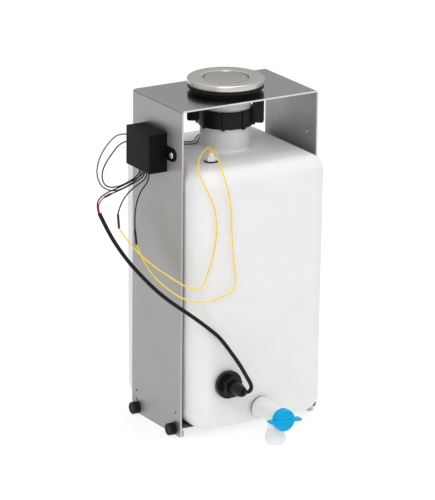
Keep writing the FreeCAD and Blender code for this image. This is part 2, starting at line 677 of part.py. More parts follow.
def drain_core():
    """Hollow core: open at the back, with one side port and a square drive."""
    radius = TAP_CORE_R - RUNNING_GAP
    front = CORE_BACK - TAP_CORE_LENGTH
    body = rod("y", radius, front, CORE_BACK, TAP_AT)
    neck = rod("y", TAP_STEM_R, HANDLE_BACK, front, TAP_AT)
    half = HANDLE_SQUARE / 2
    drive = box((TAP_X - half, HANDLE_BACK - 6, TAP_Z - half), (TAP_X + half, HANDLE_BACK, TAP_Z + half))
    cuts = [rod("y", TAP_INLET_R, front + 4, CORE_BACK + 1, TAP_AT)]
    cuts.append(rod("x", TAP_PORT_R, TAP_X, TAP_X + TAP_CORE_R + 1, (SPOUT_Y, TAP_Z)))
    for y in core_grooves():
        cuts.append(ring("y", TAP_CORE_R + 1, radius - 0.8, y - 0.7, y + 0.7, TAP_AT))
    return turned(join([body, neck, drive]).cut(cuts))


def turned(shape):
    """Turn a piece of the handle's body to the handle's angle at rest."""
    shape.rotate(V(TAP_X, 0, TAP_Z), Y_AXIS, HANDLE_TURN)
    return shape


def drain_core_seals():
    """Two rubber rings on the core."""
    outer = TAP_CORE_R - RUNNING_GAP
    inner = outer - 0.8
    return turned(group([ring("y", outer, inner, y - 0.65, y + 0.65, TAP_AT) for y in core_grooves()]))


def drain_bonnet():
    """Ring that keeps the core in the barrel."""
    bonnet = ring("y", BONNET_R, TAP_STEM_R + RUNNING_GAP, TAP_FACE - BONNET_T, TAP_FACE, TAP_AT)
    rims = [e for e in bonnet.Edges if e.BoundBox.YMax < TAP_FACE - BONNET_T + 1e-3 and e.Length > 60]
    return bonnet.makeChamfer(1.0, rims)


def drain_handle():
    """Round handle with a bar across it."""
    front = HANDLE_BACK - HANDLE_T
    disc = rod("y", HANDLE_R, front, HANDLE_BACK, TAP_AT)
    disc = disc.makeFillet(2.5, [e for e in disc.Edges if e.BoundBox.YMax < front + 1e-3])
    half_span, half_bar = HANDLE_SPAN / 2, HANDLE_BAR / 2
    bar_low = (TAP_X - half_span, front - 1.0, TAP_Z - half_bar)
    bar_high = (TAP_X + half_span, front - 1.0 + HANDLE_BAR_DEPTH, TAP_Z + half_bar)
    bar = box(bar_low, bar_high)
    ends = [e for e in bar.Edges if e.BoundBox.XLength < 1e-3 and e.BoundBox.ZLength < 1e-3]
    bar = bar.makeFillet(half_bar * 0.8, ends)
    half = HANDLE_SQUARE / 2
    socket = box((TAP_X - half, HANDLE_BACK - 6, TAP_Z - half),
                 (TAP_X + half, HANDLE_BACK + 1, TAP_Z + half))
    return turned(join([disc, bar]).cut(socket))


# ---- Relay module --------------------------------------------------------------
MODULE_OUTER = -LEG_FACE - MODULE_DEPTH
MODULE_LOW_Y = MODULE_Y - MODULE_WIDTH / 2
MODULE_HIGH_Y = MODULE_Y + MODULE_WIDTH / 2
MODULE_LOW_Z = MODULE_Z - MODULE_HEIGHT / 2
MODULE_HIGH_Z = MODULE_Z + MODULE_HEIGHT / 2
SLOT_X = -LEG_FACE - 18.5
BOARD_BACK = -LEG_FACE - 5.0


def ear_places():
    """Y of the two ear screws."""
    return (-EAR_SPREAD / 2, EAR_SPREAD / 2)


def wire_slot(drop):
    """Block the size of the wire slot in the underside, let down below it by drop."""
    low = (SLOT_X - WIRE_SLOT_WIDTH / 2, MODULE_Y - WIRE_SLOT_LENGTH / 2 - 6, MODULE_LOW_Z - drop)
    high = (SLOT_X + WIRE_SLOT_WIDTH / 2, MODULE_Y + WIRE_SLOT_LENGTH / 2 - 6, MODULE_LOW_Z + MODULE_WALL)
    return box(low, high)


def module_case():
    """Case with two ears, open towards the leg."""
    outer = box((MODULE_OUTER, MODULE_LOW_Y, MODULE_LOW_Z), (-LEG_FACE, MODULE_HIGH_Y, MODULE_HIGH_Z))
    corners = [e for e in outer.Edges if e.BoundBox.XMax < MODULE_OUTER + 1e-3]
    outer = outer.makeFillet(0.8, corners)
    wall = MODULE_WALL
    shapes = [outer]
    for y in ear_places():
        shapes.append(rod("x", EAR_R, -LEG_FACE - EAR_T, -LEG_FACE, (y, MODULE_Z)))
        low_y, high_y = sorted((y, MODULE_Y))
        low = (-LEG_FACE - EAR_T, low_y, MODULE_Z - EAR_R)
        shapes.append(box(low, (-LEG_FACE, high_y, MODULE_Z + EAR_R)))
    cavity = box((MODULE_OUTER + wall, MODULE_LOW_Y + wall, MODULE_LOW_Z + wall),
                 (-LEG_FACE + 1, MODULE_HIGH_Y - wall, MODULE_HIGH_Z - wall))
    cuts = [cavity]
    for y in ear_places():
        hole = (-LEG_FACE - EAR_T - 1, -LEG_FACE + 1, (y, MODULE_Z))
        cuts.append(rod("x", MODULE_SCREW_R + HOLE_GAP, *hole))
    return join(shapes).cut(cuts + [wire_slot(1.0)])


def module_cover():
    """Plate that closes the case against the leg."""
    inset = MODULE_WALL + SEAT_GAP
    return box((-LEG_FACE - 1.8, MODULE_LOW_Y + inset, MODULE_LOW_Z + inset),
               (-LEG_FACE - 0.2, MODULE_HIGH_Y - inset, MODULE_HIGH_Z - inset))


def module_board():
    """Circuit board across the case."""
    inset = MODULE_WALL + SEAT_GAP
    return box((BOARD_BACK - BOARD_T, MODULE_LOW_Y + inset, MODULE_LOW_Z + inset),
               (BOARD_BACK, MODULE_HIGH_Y - inset, MODULE_HIGH_Z - inset))


def module_relay():
    """Relay on the board."""
    face = BOARD_BACK - BOARD_T
    return box((face - 14.0, MODULE_Y - 2.0, MODULE_Z - 3.0), (face, MODULE_Y + 17.0, MODULE_Z + 12.5))


def module_terminals():
    """Row of four wire terminals on the board."""
    face = BOARD_BACK - BOARD_T
    blocks = []
    for i in range(4):
        low = MODULE_Y - 22.0 + i * 5.2
        blocks.append(box((face - 9.0, low, MODULE_Z - 14.0), (face, low + 4.9, MODULE_Z - 5.0)))
    return group(blocks)


def module_wire_seal():
    """Compound that seals the wires in the slot."""
    return wire_slot(0.0)


def module_screws():
    """Two pan-head screws through the ears."""
    screws = []
    for y in ear_places():
        at = (y, MODULE_Z)
        seat = -LEG_FACE - EAR_T
        crown = seat - MODULE_SCREW_HEAD_T
        head = rod("x", MODULE_SCREW_HEAD_R, crown, seat, at)
        head = head.makeFillet(1.2, [e for e in head.Edges if e.BoundBox.XMax < crown + 1e-3])
        slots = []
        for sy, sz in ((2.2, 0.4), (0.4, 2.2)):
            slots.append(box((crown - 1, y - sy, MODULE_Z - sz), (crown + 1, y + sy, MODULE_Z + sz)))
        shank = rod("x", MODULE_SCREW_R, seat, -LEG_INNER + MODULE_NUT_T + 0.8, at)
        screws.append(join([head.cut(slots), shank]))
    return group(screws)


def module_nuts():
    """Two nuts inside the leg."""
    nuts = []
    for y in ear_places():
        nut = hexagon("y", 7.0, 0, MODULE_NUT_T, (0, 0))
        nut.rotate(V(0, 0, 0), Z_AXIS, -90)
        nut.translate(V(-LEG_INNER, y, MODULE_Z))
        at = (y, MODULE_Z)
        nuts.append(nut.cut(rod("x", MODULE_SCREW_R + RUNNING_GAP, -LEG_INNER - 1, -LEG_INNER + 5, at)))
    return group(nuts)


# ---- Cords: hand-set routes, as straight runs joined by tangent arcs -----------
def tube(name, diameter, route):
    """Round cord along a route; prints its length and tightest bend."""
    points = [V(*p) for p in route]
    edges = []
    radii = []
    last = points[0]
    for before, corner, after in zip(points, points[1:], points[2:]):
        run_in, run_out = corner.sub(before), after.sub(corner)
        turn = run_in.getAngle(run_out)
        shorter = min(run_in.Length, run_out.Length)
        radius = 0.45 * shorter / math.tan(turn / 2)
        radii.append(radius)
        u, w = run_in.normalize(), run_out.normalize()
        start = corner.sub(u * (0.45 * shorter))
        end = corner.add(w * (0.45 * shorter))
        bisector = (w - u).normalize()
        centre_reach = radius / math.cos(turn / 2)
        middle = corner.add(bisector * (centre_reach - radius))
        edges.append(Part.LineSegment(last, start).toShape())
        edges.append(Part.Arc(start, middle, end).toShape())
        last = end
    edges.append(Part.LineSegment(last, points[-1]).toShape())
    path = Part.Wire(edges)
    section = Part.Wire([Part.Circle(points[0], points[1].sub(points[0]), diameter / 2).toShape()])
    shape = path.makePipeShell([section], True, False)
    expected = math.pi * (diameter / 2) ** 2 * path.Length
    print("%s: length %.1f, least radius %.1f (%.1f d), volume ratio %.4f"
          % (name, path.Length, min(radii), min(radii) / diameter, shape.Volume / expected))
    return shape


def straight(diameter, start, end):
    """Sleeve between two wire ends."""
    direction = V(*end).sub(V(*start))
    return Part.makeCylinder(diameter / 2, direction.Length, V(*start), direction)


CABLE_ROUTE = [
    (-50.5, -113.0, 71.0), (-50.5, -134.0, 71.0), (-45.2, -140.0, 79.8), (-48.2, -129.8, 91.7),
    (-50.8, -120.0, 102.6), (-54.0, -103.8, 114.8), (-64.0, -97.2, 131.0), (-80.0, -96.8, 145.5),
    (-97.6, -97.0, 160.2), (-114.0, -92.5, 173.0), (-124.2, -77.0, 182.2), (-129.1, -55.5, 190.2),
    (-131.7, -32.0, 198.9), (-134.3, -8.0, 209.0), (-137.4, 14.0, 222.9), (-141.0, 31.0, 239.2),
    (-145.6, 41.0, 257.0)]
RED_ROUTE = [
    (-144.8, 42.0, 257.4), (-146.6, 42.4, 265.0), (-144.8, 39.8, 272.3), (-141.8, 35.6, 277.3)]
RED_SLEEVE_END = (-137.4, 27.0, 283.2)
RED_LEAD_ROUTE = [
    (-137.4, 27.0, 283.2), (-134.0, 19.5, 287.5), (-127.5, 9.5, 294.5), (-118.8, 1.8, 301.6),
    (-112.9, -2.6, 307.2), (-110.5, -3.2, 312.0), (-110.5, -3.2, 316.05)]
BLACK_CORE_ROUTE = [
    (-146.6, 40.6, 256.8), (-149.0, 41.0, 265.5), (-148.2, 38.0, 275.5), (-142.8, 30.5, 283.8),
    (-135.1, 20.7, 290.3), (-128.6, 10.7, 297.3), (-120.1, 4.0, 303.5), (-113.5, 0.2, 308.5),
    (-110.5, -0.4, 312.4), (-110.5, -0.4, 316.05)]
INNER_YELLOW_ROUTE = [
    (-46.9, -44.0, 338.0), (-46.9, -44.0, 342.8), (-51.5, -46.8, 346.0), (-61.0, -53.0, 344.5),
    (-75.2, -66.0, 341.0), (-88.5, -84.0, 333.3), (-86.3, -95.5, 317.9), (-75.5, -95.0, 298.7),
    (-69.2, -94.3, 281.0), (-67.4, -94.0, 258.0), (-71.5, -94.2, 233.2), (-79.5, -94.4, 211.0),
    (-85.6, -94.8, 197.5), (-91.5, -95.2, 193.6), (-102.0, -95.2, 196.6), (-112.6, -92.5, 201.9),
    (-120.5, -80.0, 208.5), (-127.2, -58.0, 215.0), (-131.1, -33.0, 222.4), (-133.9, -7.0, 232.3),
    (-134.0, 15.0, 243.4)]
INNER_SLEEVE_END = (-131.0, 23.0, 258.7)
INNER_LEAD_ROUTE = [
    (-131.0, 23.0, 258.7), (-127.9, 23.2, 269.0), (-122.6, 15.0, 285.0), (-117.5, 2.5, 297.0),
    (-112.3, -6.5, 305.0), (-110.5, -8.2, 311.0), (-110.5, -8.2, 316.05)]
OUTER_YELLOW_ROUTE = [
    (-45.1, -44.0, 338.0), (-45.1, -44.0, 342.2), (-45.2, -47.2, 345.0), (-46.6, -52.8, 345.2),
    (-50.0, -62.0, 341.5), (-54.5, -76.0, 335.0), (-58.3, -92.0, 325.5), (-54.0, -96.4, 306.0),
    (-48.6, -94.6, 283.0), (-47.6, -94.0, 257.0), (-45.6, -94.2, 231.1), (-42.6, -94.2, 207.0),
    (-41.2, -94.6, 192.5), (-46.0, -95.4, 184.2), (-58.0, -95.8, 179.9), (-76.0, -95.6, 177.2),
    (-95.0, -95.6, 178.6), (-111.5, -92.5, 184.5), (-121.5, -75.0, 193.0), (-125.6, -50.0, 202.0),
    (-124.2, -24.0, 213.5), (-120.5, -2.0, 226.5)]
OUTER_SLEEVE_END = (-119.6, 3.0, 243.0)
OUTER_LEAD_ROUTE = [
    (-119.6, 3.0, 243.0), (-119.4, 4.6, 258.0), (-118.8, 1.5, 276.0), (-117.4, -5.0, 291.0),
    (-112.6, -11.6, 302.0), (-110.5, -13.0, 309.5), (-110.5, -13.0, 316.05)]
BROWN_ROUTE = [
    (3.0, 49.5, 331.0), (-4.0, 49.5, 331.0), (-12.0, 43.0, 331.0), (-20.0, 34.0, 331.4), (-28.8, 21.6, 331.6),
    (-40.5, 27.6, 331.4), (-52.0, 37.0, 332.0), (-66.0, 45.0, 333.5), (-80.0, 58.0, 336.5),
    (-94.0, 66.5, 339.5), (-108.0, 64.0, 340.8), (-121.0, 56.0, 338.4), (-134.0, 51.0, 330.0),
    (-143.0, 48.0, 318.0), (-147.5, 44.5, 303.5), (-145.8, 38.0, 291.4), (-139.5, 30.5, 286.3),
    (-131.8, 21.6, 287.5), (-125.3, 11.6, 294.5), (-118.0, 6.2, 301.4), (-112.6, 4.8, 306.5),
    (-110.5, 4.6, 311.5), (-110.5, 4.6, 316.05)]
BLACK_SUPPLY_ROUTE = [
    (3.0, 46.5, 331.0), (-4.0, 46.5, 331.0), (-11.5, 39.5, 330.4), (-18.3, 30.8, 329.8), (-27.6, 18.8, 329.8),
    (-40.5, 24.6, 329.4), (-53.5, 32.8, 330.2), (-68.0, 41.0, 331.5), (-82.0, 55.5, 332.5),
    (-96.0, 63.5, 332.0), (-108.5, 61.0, 329.0), (-119.5, 54.5, 323.5), (-130.5, 51.0, 314.5),
    (-139.0, 47.0, 303.5), (-141.5, 39.5, 293.0), (-137.0, 32.5, 288.9), (-130.0, 23.5, 291.4),
    (-123.5, 13.5, 298.5), (-116.8, 9.2, 303.8), (-112.8, 7.8, 307.6), (-110.5, 7.4, 312.0),
    (-110.5, 7.4, 316.05)]


def supply_connector():
    """Two-way connector on the ends of the supply leads."""
    size, at = CONNECTOR_SIZE, CONNECTOR_AT
    low = [c - s / 2 for c, s in zip(at, size)]
    high = [c + s / 2 for c, s in zip(at, size)]
    body = box(low, high)
    edges = [e for e in body.Edges if e.BoundBox.YLength < 1e-3 and e.BoundBox.ZLength < 1e-3]
    return body.makeFillet(1.0, edges)


def cords():
    """Every cord, sleeve and connector."""
    return {
        "sensor_cable": tube("sensor_cable", CABLE_D, CABLE_ROUTE),
        "sensor_red_core": tube("sensor_red_core", WIRE_D, RED_ROUTE),
        "sensor_red_sleeve": straight(SLEEVE_D, RED_ROUTE[-1], RED_SLEEVE_END),
        "sensor_red_lead": tube("sensor_red_lead", WIRE_D, RED_LEAD_ROUTE),
        "sensor_black_core": tube("sensor_black_core", WIRE_D, BLACK_CORE_ROUTE),
        "inner_yellow_wire": tube("inner_yellow_wire", WIRE_D, INNER_YELLOW_ROUTE),
        "inner_wire_sleeve": straight(SLEEVE_D, INNER_YELLOW_ROUTE[-1], INNER_SLEEVE_END),
        "inner_wire_lead": tube("inner_wire_lead", WIRE_D, INNER_LEAD_ROUTE),
        "outer_yellow_wire": tube("outer_yellow_wire", WIRE_D, OUTER_YELLOW_ROUTE),
        "outer_wire_sleeve": straight(SLEEVE_D, OUTER_YELLOW_ROUTE[-1], OUTER_SLEEVE_END),
        "outer_wire_lead": tube("outer_wire_lead", WIRE_D, OUTER_LEAD_ROUTE),
        "brown_supply_lead": tube("brown_supply_lead", WIRE_D, BROWN_ROUTE),
        "black_supply_lead": tube("black_supply_lead", WIRE_D, BLACK_SUPPLY_ROUTE),
        "supply_connector": supply_connector(),
    }


def pieces():
    """Every sub-part by name."""
    left_front, left_back = knob(-KNOB_Y), knob(KNOB_Y)
    made = {
        "hanger_bracket": hanger_bracket(),
        "tank_shelf": tank_shelf(),
        "knob_left_front": left_front,
        "knob_left_back": left_back,
        "knob_right_front": mirrored_x(left_front),
        "knob_right_back": mirrored_x(left_back),
        "tank_shell": tank_shell(),
        "coupling_nut": coupling_nut(),
        "union_seal": union_seal(),
        "filler_body": filler_body(),
        "filler_gasket": filler_gasket(),
        "filler_disc": filler_disc(),
        "plug_cap": plug_cap(),
        "plug_body": plug_body(),
        "plug_seal": plug_seal(),
        "sensor_body": sensor_body(),
        "sensor_seal": sensor_seal(),
        "sensor_locknut": sensor_locknut(),
        "gland_nut": gland_nut(),
        "gland_seal": gland_seal(),
        "float_pin": float_pin(),
        "sensor_float": sensor_float(),
        "top_switch_body": top_switch_body(),
        "top_switch_seal": top_switch_seal(),
        "top_switch_nut": top_switch_nut(),
        "top_switch_clip": top_switch_clip(),
        "top_switch_float": top_switch_float(),
        "drain_body": drain_body(),
        "drain_seal": drain_seal(),
        "drain_locknut": drain_locknut(),
        "drain_core": drain_core(),
        "drain_core_seals": drain_core_seals(),
        "drain_bonnet": drain_bonnet(),
        "drain_handle": drain_handle(),
        "module_case": module_case(),
        "module_cover": module_cover(),
        "module_board": module_board(),
        "module_relay": module_relay(),
        "module_terminals": module_terminals(),
        "module_wire_seal": module_wire_seal(),
        "module_screws": module_screws(),
        "module_nuts": module_nuts(),
    }
    made.update(cords())
    return made


def main():
    """Build every sub-part and write it."""
    os.makedirs("parts", exist_ok=True)
    for name, shape in pieces().items():
        print(name, shape.isValid(), len(shape.Solids), round(shape.Volume))
        save(name, shape)


main()
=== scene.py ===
"""Looks of a portable fresh water tank that hangs in a stainless frame.

Metres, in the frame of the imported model: +X to the object's right, -Y to its front and +Z up.
Each sub-assembly is one class. It copies or rebuilds its pieces, dresses them and lets them
ride on their bodies.
"""
from __future__ import annotations

import json
import logging
import math
from dataclasses import dataclass, field
from enum import Enum
from typing import Any, Sequence

import bmesh
import bpy
from mathutils import Matrix, Vector, noise

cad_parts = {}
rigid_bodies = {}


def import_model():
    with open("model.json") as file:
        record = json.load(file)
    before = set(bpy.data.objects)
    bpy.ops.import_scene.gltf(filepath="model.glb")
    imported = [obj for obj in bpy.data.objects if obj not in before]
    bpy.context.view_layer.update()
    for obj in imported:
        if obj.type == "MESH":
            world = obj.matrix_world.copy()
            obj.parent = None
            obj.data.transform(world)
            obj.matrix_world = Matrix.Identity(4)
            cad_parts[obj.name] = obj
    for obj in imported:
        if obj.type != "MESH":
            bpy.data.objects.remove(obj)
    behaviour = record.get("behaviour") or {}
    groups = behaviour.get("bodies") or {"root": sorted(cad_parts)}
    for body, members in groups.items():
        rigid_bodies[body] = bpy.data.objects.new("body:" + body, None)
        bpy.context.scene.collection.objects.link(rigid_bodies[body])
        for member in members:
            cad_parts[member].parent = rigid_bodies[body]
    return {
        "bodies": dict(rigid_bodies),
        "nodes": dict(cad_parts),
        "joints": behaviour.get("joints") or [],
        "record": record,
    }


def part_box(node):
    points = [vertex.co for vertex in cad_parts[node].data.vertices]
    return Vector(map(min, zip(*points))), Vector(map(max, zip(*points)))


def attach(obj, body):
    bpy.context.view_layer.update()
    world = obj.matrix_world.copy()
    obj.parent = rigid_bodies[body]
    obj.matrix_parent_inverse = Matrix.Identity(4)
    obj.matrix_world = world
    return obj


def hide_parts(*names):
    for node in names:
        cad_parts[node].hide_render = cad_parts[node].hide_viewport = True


LOG = logging.getLogger("water_tank")
Point = tuple[float, float, float]
Profile = Sequence[tuple[float, float]]
Colour = tuple[float, float, float]
MM = 0.001


# ---- Node trees ------------------------------------------------------------------
class Graph:
    """Short hand for filling one node tree."""

    def __init__(self, tree: bpy.types.NodeTree) -> None:
        """Start on a tree.

        Args:
            tree: The node tree to fill.
        """
        self.tree = tree

    def add(self, kind: str, inputs: dict[Any, Any] | None = None, **settings: Any) -> bpy.types.Node:
        """Add one node.

        Args:
            kind: The node's type name.
            inputs: Values or output sockets, by input name or number.
            settings: The node's own properties.

        Returns:
            The new node.
        """
        node = self.tree.nodes.new(kind)
        for key, value in settings.items():
            setattr(node, key, value)
        for key, value in (inputs or {}).items():
            if isinstance(value, bpy.types.NodeSocket):
                self.tree.links.new(value, node.inputs[key])
            else:
                node.inputs[key].default_value = value
        return node

    def maths(self, operation: str, first: Any, second: Any = 0.0) -> bpy.types.NodeSocket:
        """Add a Math node.

        Args:
            operation: The node's operation.
            first: First value or socket.
            second: Second value or socket.

        Returns:
            The result's socket.
        """
        kind = "ShaderNodeMath"
        return self.add(kind, {0: first, 1: second}, operation=operation).outputs[0]

    def blend(self, factor: Any, first: Any, second: Any) -> bpy.types.NodeSocket:
        """Mix two colours.

        Args:
            factor: Share of the second colour.
            first: First colour or socket.
            second: Second colour or socket.

        Returns:
            The mixed colour's socket.
        """
        colours = [c if isinstance(c, bpy.types.NodeSocket) else (*c, 1.0) for c in (first, second)]
        node = self.add("ShaderNodeMix", {0: factor, 6: colours[0], 7: colours[1]}, data_type="RGBA")
        return node.outputs[2]

    def spread(self, value: Any, source: tuple[float, float],
               target: tuple[Any, Any]) -> bpy.types.NodeSocket:
        """Map one range onto another.

        Args:
            value: Socket to map.
            source: Range that it comes from.
            target: Range that it goes to.

        Returns:
            The mapped value's socket.
        """
        inputs = {"Value": value, "From Min": source[0], "From Max": source[1],
                  "To Min": target[0], "To Max": target[1]}
        return self.add("ShaderNodeMapRange", inputs).outputs[0]

    def group(self, tree: bpy.types.NodeTree, inputs: dict[str, Any]) -> bpy.types.Node:
        """Place a shader node group.

        Args:
            tree: The group's tree.
            inputs: Values or sockets by name.

        Returns:
            The group node.
        """
        node = self.tree.nodes.new("ShaderNodeGroup")
        node.node_tree = tree
        for key, value in inputs.items():
            if isinstance(value, bpy.types.NodeSocket):
                self.tree.links.new(value, node.inputs[key])
            else:
                node.inputs[key].default_value = value
        return node


def new_tree(kind: str, name: str, inputs: Sequence[tuple], outputs: Sequence[tuple[str, str]]) -> Graph:
    """Make an empty group with named sockets.

    Args:
        kind: The tree's type name.
        name: The tree's name.
        inputs: Name, socket type and default value of each input.
        outputs: Name and socket type of each output.

    Returns:
        The tree, ready to fill, with its input and output nodes in place.
    """
    tree = bpy.data.node_groups.new(name, kind)
    for label, socket_kind, default in inputs:
        socket = tree.interface.new_socket(name=label, in_out="INPUT", socket_type=socket_kind)
        if default is not None:
            socket.default_value = default
    for label, socket_kind in outputs:
        tree.interface.new_socket(name=label, in_out="OUTPUT", socket_type=socket_kind)
    graph = Graph(tree)
    graph.add("NodeGroupInput")
    graph.add("NodeGroupOutput")
    return graph


def ends(graph: Graph) -> tuple[Any, Any]:
    """Give a group's input sockets and its output node's sockets.

    Args:
        graph: The group.

    Returns:
        The two collections of sockets.
    """
    return graph.tree.nodes["Group Input"].outputs, graph.tree.nodes["Group Output"].inputs


class Effects:
    """Shader effects that several finishes share, each built once."""

    def __init__(self) -> None:
        """Build the three groups."""
        self.grain = self.make_grain()
        self.dust = self.make_dust()
        self.streaks = self.make_streaks()

    @staticmethod
    def make_grain() -> bpy.types.NodeTree:
        """Build fine moulding grain with slow patches.

        Returns:
            The group's tree, which gives a height and a patch mask.
        """
        vector, number = "NodeSocketVector", "NodeSocketFloat"
        graph = new_tree("ShaderNodeTree", "moulding_grain",
                         [("Vector", vector, None), ("Scale", number, 900.0), ("Patch Scale", number, 30.0)],
                         [("Height", number), ("Patch", number)])
        given, out = ends(graph)
        fine = {"Vector": given["Vector"], "Scale": given["Scale"], "Detail": 3.0, "Roughness": 0.6}
        slow = {"Vector": given["Vector"], "Scale": given["Patch Scale"], "Detail": 3.0, "Roughness": 0.55}
        graph.tree.links.new(graph.add("ShaderNodeTexNoise", fine).outputs[0], out["Height"])
        patch = graph.spread(graph.add("ShaderNodeTexNoise", slow).outputs[0], (0.3, 0.7), (0.0, 1.0))
        graph.tree.links.new(patch, out["Patch"])
        return graph.tree

    @staticmethod
    def make_dust() -> bpy.types.NodeTree:
        """Build thin dust that lightens a colour in flecks.

        Returns:
            The group's tree, which gives a colour and a mask.
        """
        vector, number, colour = "NodeSocketVector", "NodeSocketFloat", "NodeSocketColor"
        graph = new_tree("ShaderNodeTree", "settled_dust",
                         [("Vector", vector, None), ("Colour", colour, None), ("Amount", number, 0.1)],
                         [("Colour", colour), ("Mask", number)])
        given, out = ends(graph)
        flecks = {"Vector": given["Vector"], "Scale": 420.0, "Detail": 5.0}
        noise_node = graph.add("ShaderNodeTexNoise", flecks)
        fleck = graph.spread(noise_node.outputs[0], (0.5, 0.78), (0.0, 1.0))
        mask = graph.maths("MULTIPLY", fleck, given["Amount"])
        graph.tree.links.new(mask, out["Mask"])
        graph.tree.links.new(graph.blend(mask, given["Colour"], (0.62, 0.6, 0.57)), out["Colour"])
        return graph.tree

    @staticmethod
    def make_streaks() -> bpy.types.NodeTree:
        """Build brushing streaks: noise drawn out along one direction.

        Returns:
            The group's tree, which gives a streak value.
        """
        vector, number = "NodeSocketVector", "NodeSocketFloat"
        graph = new_tree("ShaderNodeTree", "brushing_streaks",
                         [("Vector", vector, None), ("Stretch", vector, (1.0, 1.0, 1.0))],
                         [("Streak", number)])
        given, out = ends(graph)
        factors = {0: given["Vector"], 1: given["Stretch"]}
        drawn = graph.add("ShaderNodeVectorMath", factors, operation="MULTIPLY")
        lines = {"Vector": drawn.outputs[0], "Scale": 1.0, "Detail": 4.0, "Roughness": 0.65}
        graph.tree.links.new(graph.add("ShaderNodeTexNoise", lines).outputs[0], out["Streak"])
        return graph.tree


# ---- Finishes --------------------------------------------------------------------
class Lay(Enum):
    """Direction of a metal's brushing."""

    UPRIGHT = "upright"
    ROUND = "round"
    NONE = "none"


def begin(name: str) -> tuple[bpy.types.Material, Graph, bpy.types.NodeSocket, bpy.types.Node]:
    """Start a material.

    Args:
        name: The material's name.

    Returns:
        The material, its graph, its object coordinates and its shader node.
    """
    material = bpy.data.materials.new(name)
    material.use_nodes = True
    material.node_tree.nodes.clear()
    graph = Graph(material.node_tree)
    place = graph.add("ShaderNodeTexCoord").outputs["Object"]
    shader = graph.add("ShaderNodeBsdfPrincipled")
    graph.add("ShaderNodeOutputMaterial", {"Surface": shader.outputs[0]})
    return material, graph, place, shader


def raise_surface(graph: Graph, shader: bpy.types.Node, height: Any, depth: float) -> None:
    """Feed a bump into the shader.

    Args:
        graph: The material's graph.
        shader: Its shader node.
        height: Height socket.
        depth: Depth of the relief, in metres.
    """
    bump = graph.add("ShaderNodeBump", {"Height": height, "Strength": 1.0, "Distance": depth})
    graph.tree.links.new(bump.outputs[0], shader.inputs["Normal"])


@dataclass(frozen=True)
class Steel:
    """Bare metal, brushed or plated.

    polished_above is the height from which only a share, polish, of the roughness is left.
    highlight_edge is the distance from the middle, along Y, past which the colour is a painted highlight for
    the light on the sheet's edge.
    core is the radius inside which a turned piece is darker, by core_shade.
    """

    name: str
    colour: Colour
    roughness: float
    lay: Lay
    variation: float = 0.06
    relief: float = 2e-6
    anisotropy: float = 0.0
    polished_above: float = 0.0
    polish: float = 1.0
    highlight_edge: float = 0.0
    core: float = 0.0
    core_shade: float = 1.0

    def build(self, effects: Effects) -> bpy.types.Material:
        """Make the material.

        Args:
            effects: Shared effects.

        Returns:
            The material.
        """
        material, graph, place, shader = begin(self.name)
        if self.lay is Lay.ROUND:
            flat = graph.add("ShaderNodeVectorMath", {0: place, 1: (1.0, 1.0, 0.0)}, operation="MULTIPLY")
            length = graph.add("ShaderNodeVectorMath", {0: flat.outputs[0]}, operation="LENGTH")
            reach = length.outputs["Value"]
            place_for_lines = graph.add("ShaderNodeCombineXYZ", {"X": reach}).outputs[0]
            stretch = (2600.0, 0.0, 0.0)
        else:
            place_for_lines = place
            stretch = (2200.0, 2200.0, 22.0) if self.lay is Lay.UPRIGHT else (500.0, 500.0, 500.0)
        lines = graph.group(effects.streaks, {"Vector": place_for_lines, "Stretch": stretch})
        streak = lines.outputs["Streak"]
        grain = graph.group(effects.grain, {"Vector": place, "Scale": 700.0, "Patch Scale": 14.0})
        lighter = tuple(min(1.0, c * (1 + self.variation)) for c in self.colour)
        darker = tuple(c * (1 - self.variation) for c in self.colour)
        drawn = graph.blend(streak, darker, lighter)
        if self.core:
            inside = graph.maths("LESS_THAN", reach, self.core)
            drawn = graph.blend(inside, drawn, tuple(c * self.core_shade for c in self.colour))
        # Painted highlight: past a set distance along Y the colour turns lighter, standing in for the light
        # that the sheet's edge catches.
        if self.highlight_edge:
            depth = graph.add("ShaderNodeSeparateXYZ", {0: place}).outputs["Y"]
            highlight_mask = graph.maths("GREATER_THAN", graph.maths("MULTIPLY", depth, depth), self.highlight_edge ** 2)
            drawn = graph.blend(highlight_mask, drawn, EDGE_HIGHLIGHT_COLOUR)
        graph.tree.links.new(drawn, shader.inputs["Base Color"])
        smudge = graph.maths("MULTIPLY", grain.outputs["Patch"], 0.25 * self.roughness)
        scratch = graph.maths("MULTIPLY", streak, 0.35 * self.roughness)
        rough = graph.maths("ADD", graph.maths("ADD", smudge, scratch), 0.7 * self.roughness)
        if self.polished_above:
            height = graph.add("ShaderNodeSeparateXYZ", {0: place}).outputs["Z"]
            kept = graph.spread(height, (self.polished_above - MM, self.polished_above), (1.0, self.polish))
            rough = graph.maths("MULTIPLY", rough, kept)
        graph.tree.links.new(rough, shader.inputs["Roughness"])
        shader.inputs["Metallic"].default_value = 1.0
        if self.anisotropy:
            across = graph.add("ShaderNodeCombineXYZ", {"X": 0.03, "Y": 1.0, "Z": 0.03})
            graph.tree.links.new(across.outputs[0], shader.inputs["Tangent"])
            shader.inputs["Anisotropic"].default_value = self.anisotropy
        raise_surface(graph, shader, streak, self.relief)
        return material


